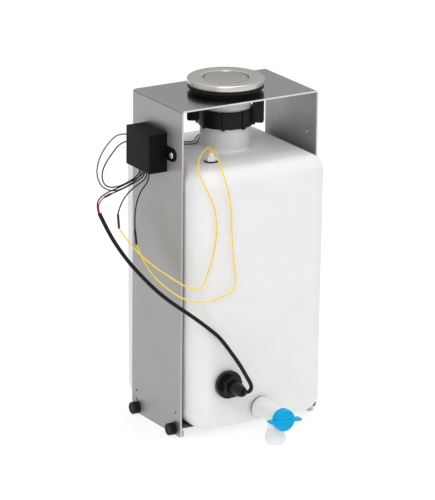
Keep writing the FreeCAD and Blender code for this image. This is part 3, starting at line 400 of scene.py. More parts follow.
@dataclass(frozen=True)
class Moulding:
    """Plastic, rubber or insulation, with its grain, patches and a little dust."""

    name: str
    colour: Colour
    roughness: float
    grain: float = 900.0
    relief: float = 6e-6
    variation: float = 0.06
    patch_scale: float = 30.0
    dust: float = 0.0
    milkiness: float = 0.0
    coat: float = 0.0
    shine: float = 0.5

    def build(self, effects: Effects) -> bpy.types.Material:
        """Make the material.

        Args:
            effects: Shared effects.

        Returns:
            The material.
        """
        material, graph, place, shader = begin(self.name)
        sizes = {"Vector": place, "Scale": self.grain, "Patch Scale": self.patch_scale}
        grain = graph.group(effects.grain, sizes)
        lighter = tuple(min(1.0, c * (1 + self.variation)) for c in self.colour)
        darker = tuple(c * (1 - self.variation) for c in self.colour)
        mottled = graph.blend(grain.outputs["Patch"], darker, lighter)
        dusted = graph.group(effects.dust, {"Vector": place, "Colour": mottled, "Amount": self.dust})
        graph.tree.links.new(dusted.outputs["Colour"], shader.inputs["Base Color"])
        worn = graph.spread(grain.outputs["Patch"], (0.0, 1.0), (0.9 * self.roughness, 1.1 * self.roughness))
        dulled = graph.maths("ADD", worn, graph.maths("MULTIPLY", dusted.outputs["Mask"], 0.3))
        graph.tree.links.new(dulled, shader.inputs["Roughness"])
        if self.milkiness:
            shader.inputs["Subsurface Weight"].default_value = self.milkiness
            shader.inputs["Subsurface Radius"].default_value = (1.0, 1.0, 1.0)
            shader.inputs["Subsurface Scale"].default_value = 0.006
        shader.inputs["Specular IOR Level"].default_value = self.shine
        shader.inputs["Coat Weight"].default_value = self.coat
        shader.inputs["Coat Roughness"].default_value = 0.2
        raise_surface(graph, shader, grain.outputs["Height"], self.relief)
        return material


# Painted highlight: lighter steel laid on the sheet's edge in place of the light that the edge catches.
EDGE_HIGHLIGHT_COLOUR = (0.66, 0.655, 0.645)

FINISHES: dict[str, Steel | Moulding] = {
    # The hanger's sheet edge, 55.6 mm off the middle, gets a painted highlight in its colour.
    "hanger_steel": Steel("satin_stainless", (0.4, 0.394, 0.384), 0.46, Lay.UPRIGHT, 0.05, 1.5e-6, 0.8,
                          polished_above=394.5 * MM, polish=0.3, highlight_edge=55.6 * MM),
    "filler_steel": Steel("turned_stainless", (0.605, 0.58, 0.55), 0.26, Lay.ROUND, 0.05, 2e-6,
                          core=26.4 * MM, core_shade=0.82),
    "bright_steel": Steel("zinc_plate", (0.7, 0.7, 0.69), 0.24, Lay.NONE, 0.05, 2e-6),
    "knob_plastic": Moulding("knob_black", (0.006, 0.006, 0.0065), 0.44, dust=0.012, shine=0.2),
    "tank_plastic": Moulding("natural_polyethylene", (0.79, 0.795, 0.795), 0.44, 260.0, 2.5e-5, 0.018, 22.0,
                             milkiness=0.35, shine=0.35),
    "nut_plastic": Moulding("nut_black", (0.005, 0.005, 0.0055), 0.4, dust=0.01, shine=0.2),
    "white_plastic": Moulding("fitting_white", (0.8, 0.805, 0.79), 0.34, 700.0, 4e-6, 0.02, milkiness=0.25),
    "seal_rubber": Moulding("seal_black", (0.006, 0.006, 0.0065), 0.52, 1200.0, 8e-6, dust=0.015, shine=0.2),
    "switch_plastic": Moulding("switch_black", (0.005, 0.005, 0.0055), 0.36, dust=0.01, shine=0.25),
    "handle_plastic": Moulding("handle_blue", (0.0, 0.37, 0.7), 0.36, 500.0, 4e-6, 0.05, shine=0.12),
    "case_plastic": Moulding("case_black", (0.003, 0.003, 0.0033), 0.5, 800.0, 1.2e-5, dust=0.008,
                             shine=0.11),
    "board_laminate": Moulding("board_green", (0.04, 0.2, 0.08), 0.4, coat=0.3),
    "terminal_plastic": Moulding("terminal_green", (0.05, 0.28, 0.12), 0.45),
    "potting_resin": Moulding("resin_black", (0.008, 0.008, 0.008), 0.25, coat=0.3),
    "cable_rubber": Moulding("cable_black", (0.005, 0.005, 0.0055), 0.42, 1500.0, 4e-6, dust=0.01, shine=0.2),
    "sleeve_plastic": Moulding("sleeve_black", (0.008, 0.008, 0.0085), 0.36, 1500.0, 6e-6, shine=0.3),
    "yellow_wire": Moulding("wire_yellow", (0.95, 0.64, 0.02), 0.34, 1500.0, 3e-6, 0.06, 60.0, shine=0.3),
    "red_wire": Moulding("wire_red", (0.7, 0.02, 0.035), 0.36, 1500.0, 3e-6),
    "brown_wire": Moulding("wire_brown", (0.14, 0.07, 0.06), 0.36, 1500.0, 3e-6, shine=0.3),
    "connector_plastic": Moulding("connector_black", (0.01, 0.01, 0.011), 0.4),
}


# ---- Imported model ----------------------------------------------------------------
class Model:
    """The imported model, its record and the finish of each slot."""

    def __init__(self, frame: dict) -> None:
        """Read the record and build every finish.

        Args:
            frame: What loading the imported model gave.
        """
        self.nodes: dict[str, bpy.types.Object] = frame["nodes"]
        record = frame["record"]
        self.slots = {part["node"]: part["material_slot"] for part in record["subparts"]}
        self.bodies = {node: body for body, nodes in record["behaviour"]["bodies"].items() for node in nodes}
        effects = Effects()
        self.materials = {slot: finish.build(effects) for slot, finish in FINISHES.items()}

    def dress(self, node: str) -> None:
        """Give a carried-over node its finish.

        Args:
            node: The node's name.
        """
        mesh = self.nodes[node].data
        mesh.materials.clear()
        mesh.materials.append(self.materials[self.slots[node]])

    def settle(self, piece: bpy.types.Object, *nodes: str) -> bpy.types.Object:
        """Let a piece stand for nodes: finish, body and slot.

        Args:
            piece: The finished piece.
            nodes: The nodes that it replaces, the first of which gives its finish and body.

        Returns:
            The piece.
        """
        slot = self.slots[nodes[0]]
        if not piece.data.materials:
            piece.data.materials.append(self.materials[slot])
        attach(piece, self.bodies[nodes[0]])
        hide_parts(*nodes)
        LOG.info("%s stands for %s", piece.name, ", ".join(nodes))
        return piece


# ---- Mesh helpers ----------------------------------------------------------------
def link(name: str, data: Any) -> bpy.types.Object:
    """Put new data into the scene.

    Args:
        name: The object's name.
        data: Its mesh, curve, light or camera.

    Returns:
        The object.
    """
    made = bpy.data.objects.new(name, data)
    bpy.context.scene.collection.objects.link(made)
    return made


def to_object(name: str, mesh: bmesh.types.BMesh, sharp: float = 35.0) -> bpy.types.Object:
    """Turn an edited mesh into a smooth-shaded object.

    Args:
        name: The object's name.
        mesh: The edited mesh, which is freed.
        sharp: Angle past which an edge stays sharp, in degrees.

    Returns:
        The object.
    """
    data = bpy.data.meshes.new(name)
    mesh.to_mesh(data)
    mesh.free()
    data.shade_smooth()
    data.set_sharp_from_angle(angle=math.radians(sharp))
    return link(name, data)


def soften(piece: bpy.types.Object, width: float, segments: int = 2, angle: float = 30.0) -> bpy.types.Object:
    """Round a piece's edges.

    Args:
        piece: The piece.
        width: Width of the rounding.
        segments: Number of faces across it.
        angle: Least angle of an edge that is rounded, in degrees.

    Returns:
        The piece.
    """
    bevel = piece.modifiers.new("rounding", "BEVEL")
    bevel.width = width
    bevel.segments = segments
    bevel.limit_method = "ANGLE"
    bevel.angle_limit = math.radians(angle)
    bevel.harden_normals = True
    bevel.miter_outer = "MITER_ARC"
    return piece


def refined(model: Model, node: str, width: float, segments: int = 2) -> bpy.types.Object:
    """Copy a node, merge its triangles, round its edges and let the copy stand for it.

    Args:
        model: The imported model.
        node: The node's name.
        width: Width of the rounding.
        segments: Number of faces across it.

    Returns:
        The piece.
    """
    mesh = bmesh.new()
    mesh.from_mesh(model.nodes[node].data)
    bmesh.ops.remove_doubles(mesh, verts=mesh.verts, dist=2e-6)
    bmesh.ops.dissolve_limit(mesh, angle_limit=math.radians(0.2), verts=mesh.verts, edges=mesh.edges)
    piece = soften(to_object(node + "_finished", mesh), width, segments)
    return model.settle(piece, node)


def turned(profile: Profile, steps: int = 96, closed: bool = True) -> bmesh.types.BMesh:
    """Spin a profile about +Z.

    Args:
        profile: Radius and height of each point. A radius of zero makes a pole.
        steps: Number of faces round.
        closed: Whether the last point joins the first.

    Returns:
        The mesh.
    """
    mesh = bmesh.new()
    rings = []
    for radius, height in profile:
        if radius < 1e-7:
            rings.append([mesh.verts.new((0.0, 0.0, height))] * steps)
            continue
        turn = 2 * math.pi / steps
        rings.append([mesh.verts.new((radius * math.cos(i * turn), radius * math.sin(i * turn), height))
                      for i in range(steps)])
    pairs = list(zip(rings, rings[1:]))
    if closed:
        pairs.append((rings[-1], rings[0]))
    for low, high in pairs:
        for i in range(steps):
            j = (i + 1) % steps
            corners = list(dict.fromkeys([low[i], low[j], high[j], high[i]]))
            if len(corners) > 2:
                mesh.faces.new(corners)
    bmesh.ops.recalc_face_normals(mesh, faces=mesh.faces)
    return mesh


def bow(first: tuple[float, float], last: tuple[float, float], centre: tuple[float, float],
        steps: int) -> list:
    """Points of an arc in a profile.

    Args:
        first: First point.
        last: Last point.
        centre: The arc's centre.
        steps: Number of runs.

    Returns:
        The points, both ends among them.
    """
    start = math.atan2(first[1] - centre[1], first[0] - centre[0])
    stop = math.atan2(last[1] - centre[1], last[0] - centre[0])
    radius = math.dist(first, centre)
    angles = [start + (stop - start) * i / steps for i in range(steps + 1)]
    return [(centre[0] + radius * math.cos(a), centre[1] + radius * math.sin(a)) for a in angles]


def aim(axis: str, at: Point) -> Matrix:
    """Place something made along +Z.

    Args:
        axis: Direction that +Z goes to: "+x", "-x", "+y", "-y" or "+z".
        at: Point that the origin goes to.

    Returns:
        The matrix.
    """
    directions = {"+x": (1, 0, 0), "-x": (-1, 0, 0), "+y": (0, 1, 0), "-y": (0, -1, 0), "+z": (0, 0, 1)}
    turn = Vector((0, 0, 1)).rotation_difference(Vector(directions[axis]))
    return Matrix.Translation(at) @ turn.to_matrix().to_4x4()


def gather(target: bmesh.types.BMesh, parts: Sequence[bmesh.types.BMesh]) -> bmesh.types.BMesh:
    """Add meshes to one, and free them.

    Args:
        target: The mesh that takes them.
        parts: The meshes to add.

    Returns:
        The target.
    """
    for part in parts:
        data = bpy.data.meshes.new("part")
        part.to_mesh(data)
        part.free()
        target.from_mesh(data)
        bpy.data.meshes.remove(data)
    return target


def block(low: Point, high: Point) -> bmesh.types.BMesh:
    """Box between two corners, for rounding.

    Args:
        low: Lowest corner.
        high: Highest corner.

    Returns:
        The mesh.
    """
    mesh = bmesh.new()
    size = Vector(high) - Vector(low)
    middle = (Vector(high) + Vector(low)) / 2
    matrix = Matrix.Translation(middle) @ Matrix.Diagonal((*size, 1.0))
    bmesh.ops.create_cube(mesh, size=1.0, matrix=matrix)
    return mesh


# ---- Things that repeat ----------------------------------------------------------
class Repeats:
    """Geometry Nodes trees for ribs round an axis and for screw threads."""

    def __init__(self) -> None:
        """Build both trees."""
        self.ribs = self.make_ribs()
        self.thread = self.make_thread()

    @staticmethod
    def make_ribs() -> bpy.types.NodeTree:
        """Build a ring of upright ribs with tapered ends.

        Returns:
            The tree.
        """
        number = "NodeSocketFloat"
        graph = new_tree("GeometryNodeTree", "ring_of_ribs",
                         [("Geometry", "NodeSocketGeometry", None), ("Count", "NodeSocketInt", 12),
                          ("Ring Radius", number, 0.01), ("Rib Radius", number, 0.001),
                          ("Length", number, 0.01),
                          ("Base", number, 0.0), ("Finish", "NodeSocketMaterial", None)],
                         [("Geometry", "NodeSocketGeometry")])
        given, out = ends(graph)
        circle = {"Vertices": given["Count"], "Radius": given["Ring Radius"]}
        ring = graph.add("GeometryNodeMeshCircle", circle)
        rib = graph.add("GeometryNodeMeshCylinder", {
            "Vertices": 10, "Side Segments": 1, "Fill Segments": 1, "Radius": given["Rib Radius"],
            "Depth": given["Length"]})
        half = graph.maths("MULTIPLY", given["Length"], 0.5)
        middle = graph.add("ShaderNodeCombineXYZ", {"Z": graph.maths("ADD", half, given["Base"])})
        raised = graph.add("GeometryNodeTransform",
                           {"Geometry": rib.outputs[0], "Translation": middle.outputs[0]})
        placed = graph.add("GeometryNodeInstanceOnPoints",
                           {"Points": ring.outputs[0], "Instance": raised.outputs[0]})
        real = graph.add("GeometryNodeRealizeInstances", {"Geometry": placed.outputs[0]})
        painted = graph.add("GeometryNodeSetMaterial",
                            {"Geometry": real.outputs[0], "Material": given["Finish"]})
        graph.tree.links.new(painted.outputs[0], out["Geometry"])
        return graph.tree

    @staticmethod
    def make_thread() -> bpy.types.NodeTree:
        """Build a screw thread's ridge as one helix.

        Returns:
            The tree.
        """
        number = "NodeSocketFloat"
        graph = new_tree("GeometryNodeTree", "screw_thread",
                         [("Geometry", "NodeSocketGeometry", None), ("Turns", number, 5.0),
                          ("Radius", number, 0.03), ("Ridge", number, 0.0008), ("Height", number, 0.01),
                          ("Base", number, 0.0), ("Finish", "NodeSocketMaterial", None)],
                         [("Geometry", "NodeSocketGeometry")])
        given, out = ends(graph)
        helix = graph.add("GeometryNodeCurveSpiral", {
            "Resolution": 72, "Rotations": given["Turns"], "Start Radius": given["Radius"],
            "End Radius": given["Radius"], "Height": given["Height"]})
        upright = graph.add("GeometryNodeSetCurveNormal", {"Curve": helix.outputs[0]}, mode="Z_UP")
        section = graph.add("GeometryNodeCurvePrimitiveCircle", {"Resolution": 6, "Radius": given["Ridge"]})
        swept = graph.add("GeometryNodeCurveToMesh", {
            "Curve": upright.outputs[0], "Profile Curve": section.outputs[0], "Fill Caps": True})
        middle = graph.add("ShaderNodeCombineXYZ", {"Z": given["Base"]})
        raised = graph.add("GeometryNodeTransform",
                           {"Geometry": swept.outputs[0], "Translation": middle.outputs[0]})
        real = graph.add("GeometryNodeRealizeInstances", {"Geometry": raised.outputs[0]})
        painted = graph.add("GeometryNodeSetMaterial",
                            {"Geometry": real.outputs[0], "Material": given["Finish"]})
        graph.tree.links.new(painted.outputs[0], out["Geometry"])
        return graph.tree

    @staticmethod
    def result(tree: bpy.types.NodeTree, values: dict[str, Any]) -> bmesh.types.BMesh:
        """Run a tree once and keep its mesh.

        Args:
            tree: The tree.
            values: Its inputs by name.

        Returns:
            The mesh, with outward faces.
        """
        holder = link("holder", bpy.data.meshes.new("holder"))
        modifier = holder.modifiers.new("repeat", "NODES")
        modifier.node_group = tree
        for item in tree.interface.items_tree:
            if item.item_type == "SOCKET" and item.in_out == "INPUT" and item.name in values:
                modifier[item.identifier] = values[item.name]
        graph = bpy.context.evaluated_depsgraph_get()
        data = bpy.data.meshes.new_from_object(holder.evaluated_get(graph))
        holder.modifiers.remove(modifier)
        mesh = bmesh.new()
        mesh.from_mesh(data)
        bmesh.ops.recalc_face_normals(mesh, faces=mesh.faces)
        bpy.data.objects.remove(holder)
        bpy.data.meshes.remove(data)
        return mesh


def rib_ring(repeats: Repeats, count: int, ring: float, rib: float, length: float,
             base: float) -> bmesh.types.BMesh:
    """Ribs round +Z.

    Args:
        repeats: The trees.
        count: Number of ribs.
        ring: Radius that their middles stand on.
        rib: Radius of one rib.
        length: Length of one rib.
        base: Height of their lower ends.

    Returns:
        The mesh.
    """
    return repeats.result(repeats.ribs, {"Count": count, "Ring Radius": ring, "Rib Radius": rib,
                                         "Length": length, "Base": base})


def screw_ridge(repeats: Repeats, radius: float, ridge: float, pitch: float, low: float,
                high: float) -> bmesh.types.BMesh:
    """Thread ridge round +Z.

    Args:
        repeats: The trees.
        radius: Radius of the ridge's crest.
        ridge: Radius of its section.
        pitch: Rise of one turn.
        low: Height of its lower end.
        high: Height of its upper end.

    Returns:
        The mesh.
    """
    return repeats.result(repeats.thread, {"Turns": (high - low) / pitch, "Radius": radius - ridge,
                                           "Ridge": ridge, "Height": high - low, "Base": low})


# ---- Wiring ----------------------------------------------------------------------
@dataclass(frozen=True)
class Wire:
    """One free cord: the node that it stands for, its route and its facts."""

    node: str
    diameter: float
    length: float
    route: tuple[Point, ...]
    far_end: str
    stiffness: str
    lay: str
    companions: tuple[str, ...] = ()

    def build(self, model: Model) -> bpy.types.Object:
        """Lay the cord along its route.

        Args:
            model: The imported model.

        Returns:
            The curve.
        """
        curve = bpy.data.curves.new(self.node + "_line", "CURVE")
        curve.dimensions = "3D"
        line = curve.splines.new("NURBS")
        line.points.add(len(self.route) - 1)
        for point, place in zip(line.points, self.route):
            point.co = (*place, 1.0)
        line.order_u = 3
        line.use_endpoint_u = True
        curve.resolution_u = 8
        curve.bevel_depth = self.diameter / 2
        curve.bevel_resolution = 4
        curve.use_fill_caps = True
        return model.settle(link(self.node + "_line", curve), self.node)


WIRES: tuple[Wire, ...] = (
    Wire("sensor_cable", 0.0047, 0.332, (
        (-0.0505, -0.113, 0.071), (-0.0505, -0.134, 0.071), (-0.0452, -0.14, 0.0798),
        (-0.0482, -0.1298, 0.0917), (-0.0508, -0.12, 0.1026), (-0.054, -0.1038, 0.1148),
        (-0.064, -0.0972, 0.131), (-0.08, -0.0968, 0.1455), (-0.0976, -0.097, 0.1602),
        (-0.114, -0.0925, 0.173), (-0.1242, -0.077, 0.1822), (-0.1291, -0.0555, 0.1902),
        (-0.1317, -0.032, 0.1989), (-0.1343, -0.008, 0.209), (-0.1374, 0.014, 0.2229),
        (-0.141, 0.031, 0.2392), (-0.1456, 0.041, 0.257),
    ), "object", "medium", "hanging", ("sensor_red_core",)),
    Wire("sensor_red_core", 0.0016, 0, (
        (-0.1448, 0.042, 0.2574), (-0.1466, 0.0424, 0.265), (-0.1448, 0.0398, 0.2723),
        (-0.1418, 0.0356, 0.2773),
    ), "object", "medium", "loose", ()),
    Wire("sensor_red_lead", 0.0016, 0.055, (
        (-0.1374, 0.027, 0.2832), (-0.134, 0.0195, 0.2875), (-0.1275, 0.0095, 0.2945),
        (-0.1188, 0.0018, 0.3016), (-0.1129, -0.0026, 0.3072), (-0.1105, -0.0032, 0.312),
        (-0.1105, -0.0032, 0.316),
    ), "object", "medium", "hanging", ("sensor_red_sleeve",)),
    Wire("sensor_black_core", 0.0016, 0.089, (
        (-0.1466, 0.0406, 0.2568), (-0.149, 0.041, 0.2655), (-0.1482, 0.038, 0.2755),
        (-0.1428, 0.0305, 0.2838), (-0.1351, 0.0207, 0.2903), (-0.1286, 0.0107, 0.2973),
        (-0.1201, 0.004, 0.3035), (-0.1135, 0.0002, 0.3085), (-0.1105, -0.0004, 0.3124),
        (-0.1105, -0.0004, 0.316),
    ), "object", "medium", "hanging", ()),
    Wire("inner_yellow_wire", 0.0016, 0.358, (
        (-0.0469, -0.044, 0.338), (-0.0469, -0.044, 0.3428), (-0.0515, -0.0468, 0.346),
        (-0.061, -0.053, 0.3445), (-0.0752, -0.066, 0.341), (-0.0885, -0.084, 0.3333),
        (-0.0863, -0.0955, 0.3179), (-0.0755, -0.095, 0.2987), (-0.0692, -0.0943, 0.281),
        (-0.0674, -0.094, 0.258), (-0.0715, -0.0942, 0.2332), (-0.0795, -0.0944, 0.211),
        (-0.0856, -0.0948, 0.1975), (-0.0915, -0.0952, 0.1936), (-0.102, -0.0952, 0.1966),
        (-0.1126, -0.0925, 0.2019), (-0.1205, -0.08, 0.2085), (-0.1272, -0.058, 0.215),
        (-0.1311, -0.033, 0.2224), (-0.1339, -0.007, 0.2323), (-0.134, 0.015, 0.2434),
    ), "object", "medium", "hanging", ("inner_wire_sleeve",)),
    Wire("inner_wire_lead", 0.0016, 0.072, (
        (-0.131, 0.023, 0.2587), (-0.1279, 0.0232, 0.269), (-0.1226, 0.015, 0.285),
        (-0.1175, 0.0025, 0.297), (-0.1123, -0.0065, 0.305), (-0.1105, -0.0082, 0.311),
        (-0.1105, -0.0082, 0.316),
    ), "object", "medium", "hanging", ()),
    Wire("outer_yellow_wire", 0.0016, 0.371, (
        (-0.0451, -0.044, 0.338), (-0.0451, -0.044, 0.3422), (-0.0452, -0.0472, 0.345),
        (-0.0466, -0.0528, 0.3452), (-0.05, -0.062, 0.3415), (-0.0545, -0.076, 0.335),
        (-0.0583, -0.092, 0.3255), (-0.054, -0.0964, 0.306), (-0.0486, -0.0946, 0.283),
        (-0.0476, -0.094, 0.257), (-0.0456, -0.0942, 0.2311), (-0.0426, -0.0942, 0.207),
        (-0.0412, -0.0946, 0.1925), (-0.046, -0.0954, 0.1842), (-0.058, -0.0958, 0.1799),
        (-0.076, -0.0956, 0.1772), (-0.095, -0.0956, 0.1786), (-0.1115, -0.0925, 0.1845),
        (-0.1215, -0.075, 0.193), (-0.1256, -0.05, 0.202), (-0.1242, -0.024, 0.2135),
        (-0.1205, -0.002, 0.2265),
    ), "object", "medium", "hanging", ("outer_wire_sleeve",)),
    Wire("outer_wire_lead", 0.0016, 0.078, (
        (-0.1196, 0.003, 0.243), (-0.1194, 0.0046, 0.258), (-0.1188, 0.0015, 0.276),
        (-0.1174, -0.005, 0.291), (-0.1126, -0.0116, 0.302), (-0.1105, -0.013, 0.3095),
        (-0.1105, -0.013, 0.316),
    ), "object", "medium", "hanging", ()),
    Wire("brown_supply_lead", 0.0016, 0.276, (
        (-0.1105, 0.0046, 0.316), (-0.1105, 0.0046, 0.3115), (-0.1126, 0.0048, 0.3065),
        (-0.118, 0.0062, 0.3014), (-0.1253, 0.0116, 0.2945), (-0.1318, 0.0216, 0.2875),
        (-0.1395, 0.0305, 0.2863), (-0.1458, 0.038, 0.2914), (-0.1475, 0.0445, 0.3035),
        (-0.143, 0.048, 0.318), (-0.134, 0.051, 0.33), (-0.121, 0.056, 0.3384), (-0.108, 0.064, 0.3408),
        (-0.094, 0.0665, 0.3395), (-0.08, 0.058, 0.3365), (-0.066, 0.045, 0.3335), (-0.052, 0.037, 0.332),
        (-0.0405, 0.0276, 0.3314), (-0.0288, 0.0216, 0.3316), (-0.02, 0.034, 0.3314),
        (-0.012, 0.043, 0.331), (-0.004, 0.0495, 0.331), (0.003, 0.0495, 0.331),
    ), "connector", "medium", "hanging", ("supply_connector",)),
    Wire("black_supply_lead", 0.0016, 0.25, (
        (-0.1105, 0.0074, 0.316), (-0.1105, 0.0074, 0.312), (-0.1128, 0.0078, 0.3076),
        (-0.1168, 0.0092, 0.3038), (-0.1235, 0.0135, 0.2985), (-0.13, 0.0235, 0.2914),
        (-0.137, 0.0325, 0.2889), (-0.1415, 0.0395, 0.293), (-0.139, 0.047, 0.3035),
        (-0.1305, 0.051, 0.3145), (-0.1195, 0.0545, 0.3235), (-0.1085, 0.061, 0.329),
        (-0.096, 0.0635, 0.332), (-0.082, 0.0555, 0.3325), (-0.068, 0.041, 0.3315),
        (-0.0535, 0.0328, 0.3302), (-0.0405, 0.0246, 0.3294), (-0.0276, 0.0188, 0.3298),
        (-0.0183, 0.0308, 0.3298), (-0.0115, 0.0395, 0.3304), (-0.004, 0.0465, 0.331),
        (0.003, 0.0465, 0.331),
    ), "connector", "medium", "hanging", ("supply_connector",)),
)

SLEEVES: dict[str, tuple[Point, Point]] = {
    "sensor_red_sleeve": ((-0.1418, 0.0356, 0.2773), (-0.1374, 0.027, 0.2832)),
    "inner_wire_sleeve": ((-0.134, 0.015, 0.2434), (-0.131, 0.023, 0.2587)),
    "outer_wire_sleeve": ((-0.1205, -0.002, 0.2265), (-0.1196, 0.003, 0.243)),
}


@dataclass
class Wiring:
    """Cable, wires, sleeves and supply leads of the two switches and the module."""

    sleeve_radius: float = 1.4 * MM
    wires: dict[str, bpy.types.Object] = field(default_factory=dict)

    def sleeve(self, model: Model, node: str) -> bpy.types.Object:
        """Shrink sleeve over a joint: waisted at both ends.

        Args:
            model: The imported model.
            node: The sleeve's node.

        Returns:
            The piece.
        """
        start, stop = SLEEVES[node]
        run = Vector(stop) - Vector(start)
        inner, full = 0.86 * self.sleeve_radius, self.sleeve_radius
        profile = [(0.0, 0.0), (inner * 0.9, 0.0), (inner, 0.3 * MM), (inner * 1.04, 1.6 * MM)]
        profile += [(full, 3.0 * MM), (full * 0.98, run.length / 2), (full, run.length - 3.0 * MM)]
        profile += [(inner * 1.04, run.length - 1.6 * MM), (inner, run.length - 0.3 * MM)]
        profile += [(inner * 0.9, run.length), (0.0, run.length)]
        mesh = turned(profile, 20, closed=False)
        turn = Vector((0, 0, 1)).rotation_difference(run).to_matrix().to_4x4()
        bmesh.ops.transform(mesh, matrix=Matrix.Translation(start) @ turn, verts=mesh.verts)
        return model.settle(to_object(node + "_tube", mesh, 50.0), node)

    def build(self, model: Model) -> None:
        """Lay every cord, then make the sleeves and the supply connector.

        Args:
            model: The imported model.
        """
        for wire in WIRES:
            self.wires[wire.node] = wire.build(model)
        extras = {node: self.sleeve(model, node) for node in SLEEVES}
        extras.update({node: self.wires[node] for node in self.wires})
        extras["supply_connector"] = refined(model, "supply_connector", 0.4 * MM)


# ---- Sub-assemblies --------------------------------------------------------------
@dataclass
class Hanger:
    """Folded stainless hanger, its shelf and the four thumb screws."""

    knob_radius: float = 7.3 * MM
    knob_length: float = 9.0 * MM
    ribs: int = 18
    stud_radius: float = 1.95 * MM
    stud_length: float = 6.0 * MM

    def knob(self, model: Model, repeats: Repeats, node: str) -> bpy.types.Object:
        """Thumb screw with a grooved, ribbed head.

        Args:
            model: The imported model.
            repeats: Trees for its ribs.
            node: Its node.

        Returns:
            The piece.
        """
        low, high = (Vector(corner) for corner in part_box(node))
        middle = (low + high) / 2
        left = middle.x < 0
        face = high.x - self.stud_length if left else low.x + self.stud_length
        r, length = self.knob_radius, self.knob_length
        profile = [(0.0, -self.stud_length), (self.stud_radius - 0.4 * MM, -self.stud_length)]
        profile += [(self.stud_radius, 0.4 * MM - self.stud_length), (self.stud_radius, 0.0)]
        profile += [(r - 0.9 * MM, 0.0), (r - 0.5 * MM, 0.3 * MM), (r - 0.5 * MM, length - 3.4 * MM)]
        profile += [(r - 0.9 * MM, length - 3.1 * MM), (r - 0.9 * MM, length - 2.4 * MM)]
        profile += [(r - 0.1 * MM, length - 2.0 * MM), (r, length - 1.6 * MM)]
        profile += [(r, length - 0.9 * MM), (r - 0.35 * MM, length - 0.3 * MM), (r - 1.0 * MM, length)]
        profile += [(r - 2.2 * MM, length), (r - 2.6 * MM, length - 0.5 * MM), (0.0, length - 0.6 * MM)]
        head = turned(profile, 64, closed=False)
        ribs = rib_ring(repeats, self.ribs, r - 0.7 * MM, 0.66 * MM, length - 4.2 * MM, 0.6 * MM)
        mesh = gather(head, [ribs])
        place = aim("-x" if left else "+x", (face, middle.y, middle.z))
        bmesh.ops.transform(mesh, matrix=place, verts=mesh.verts)
        return model.settle(to_object(node + "_grip", mesh), node)

    def build(self, model: Model, repeats: Repeats) -> None:
        """Build the sub-assembly.

        Args:
            model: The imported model.
            repeats: Trees for what repeats.
        """
        refined(model, "hanger_bracket", 0.3 * MM, 3)
        refined(model, "tank_shelf", 0.2 * MM)
        for node in ("knob_left_front", "knob_left_back", "knob_right_front", "knob_right_back"):
            self.knob(model, repeats, node)


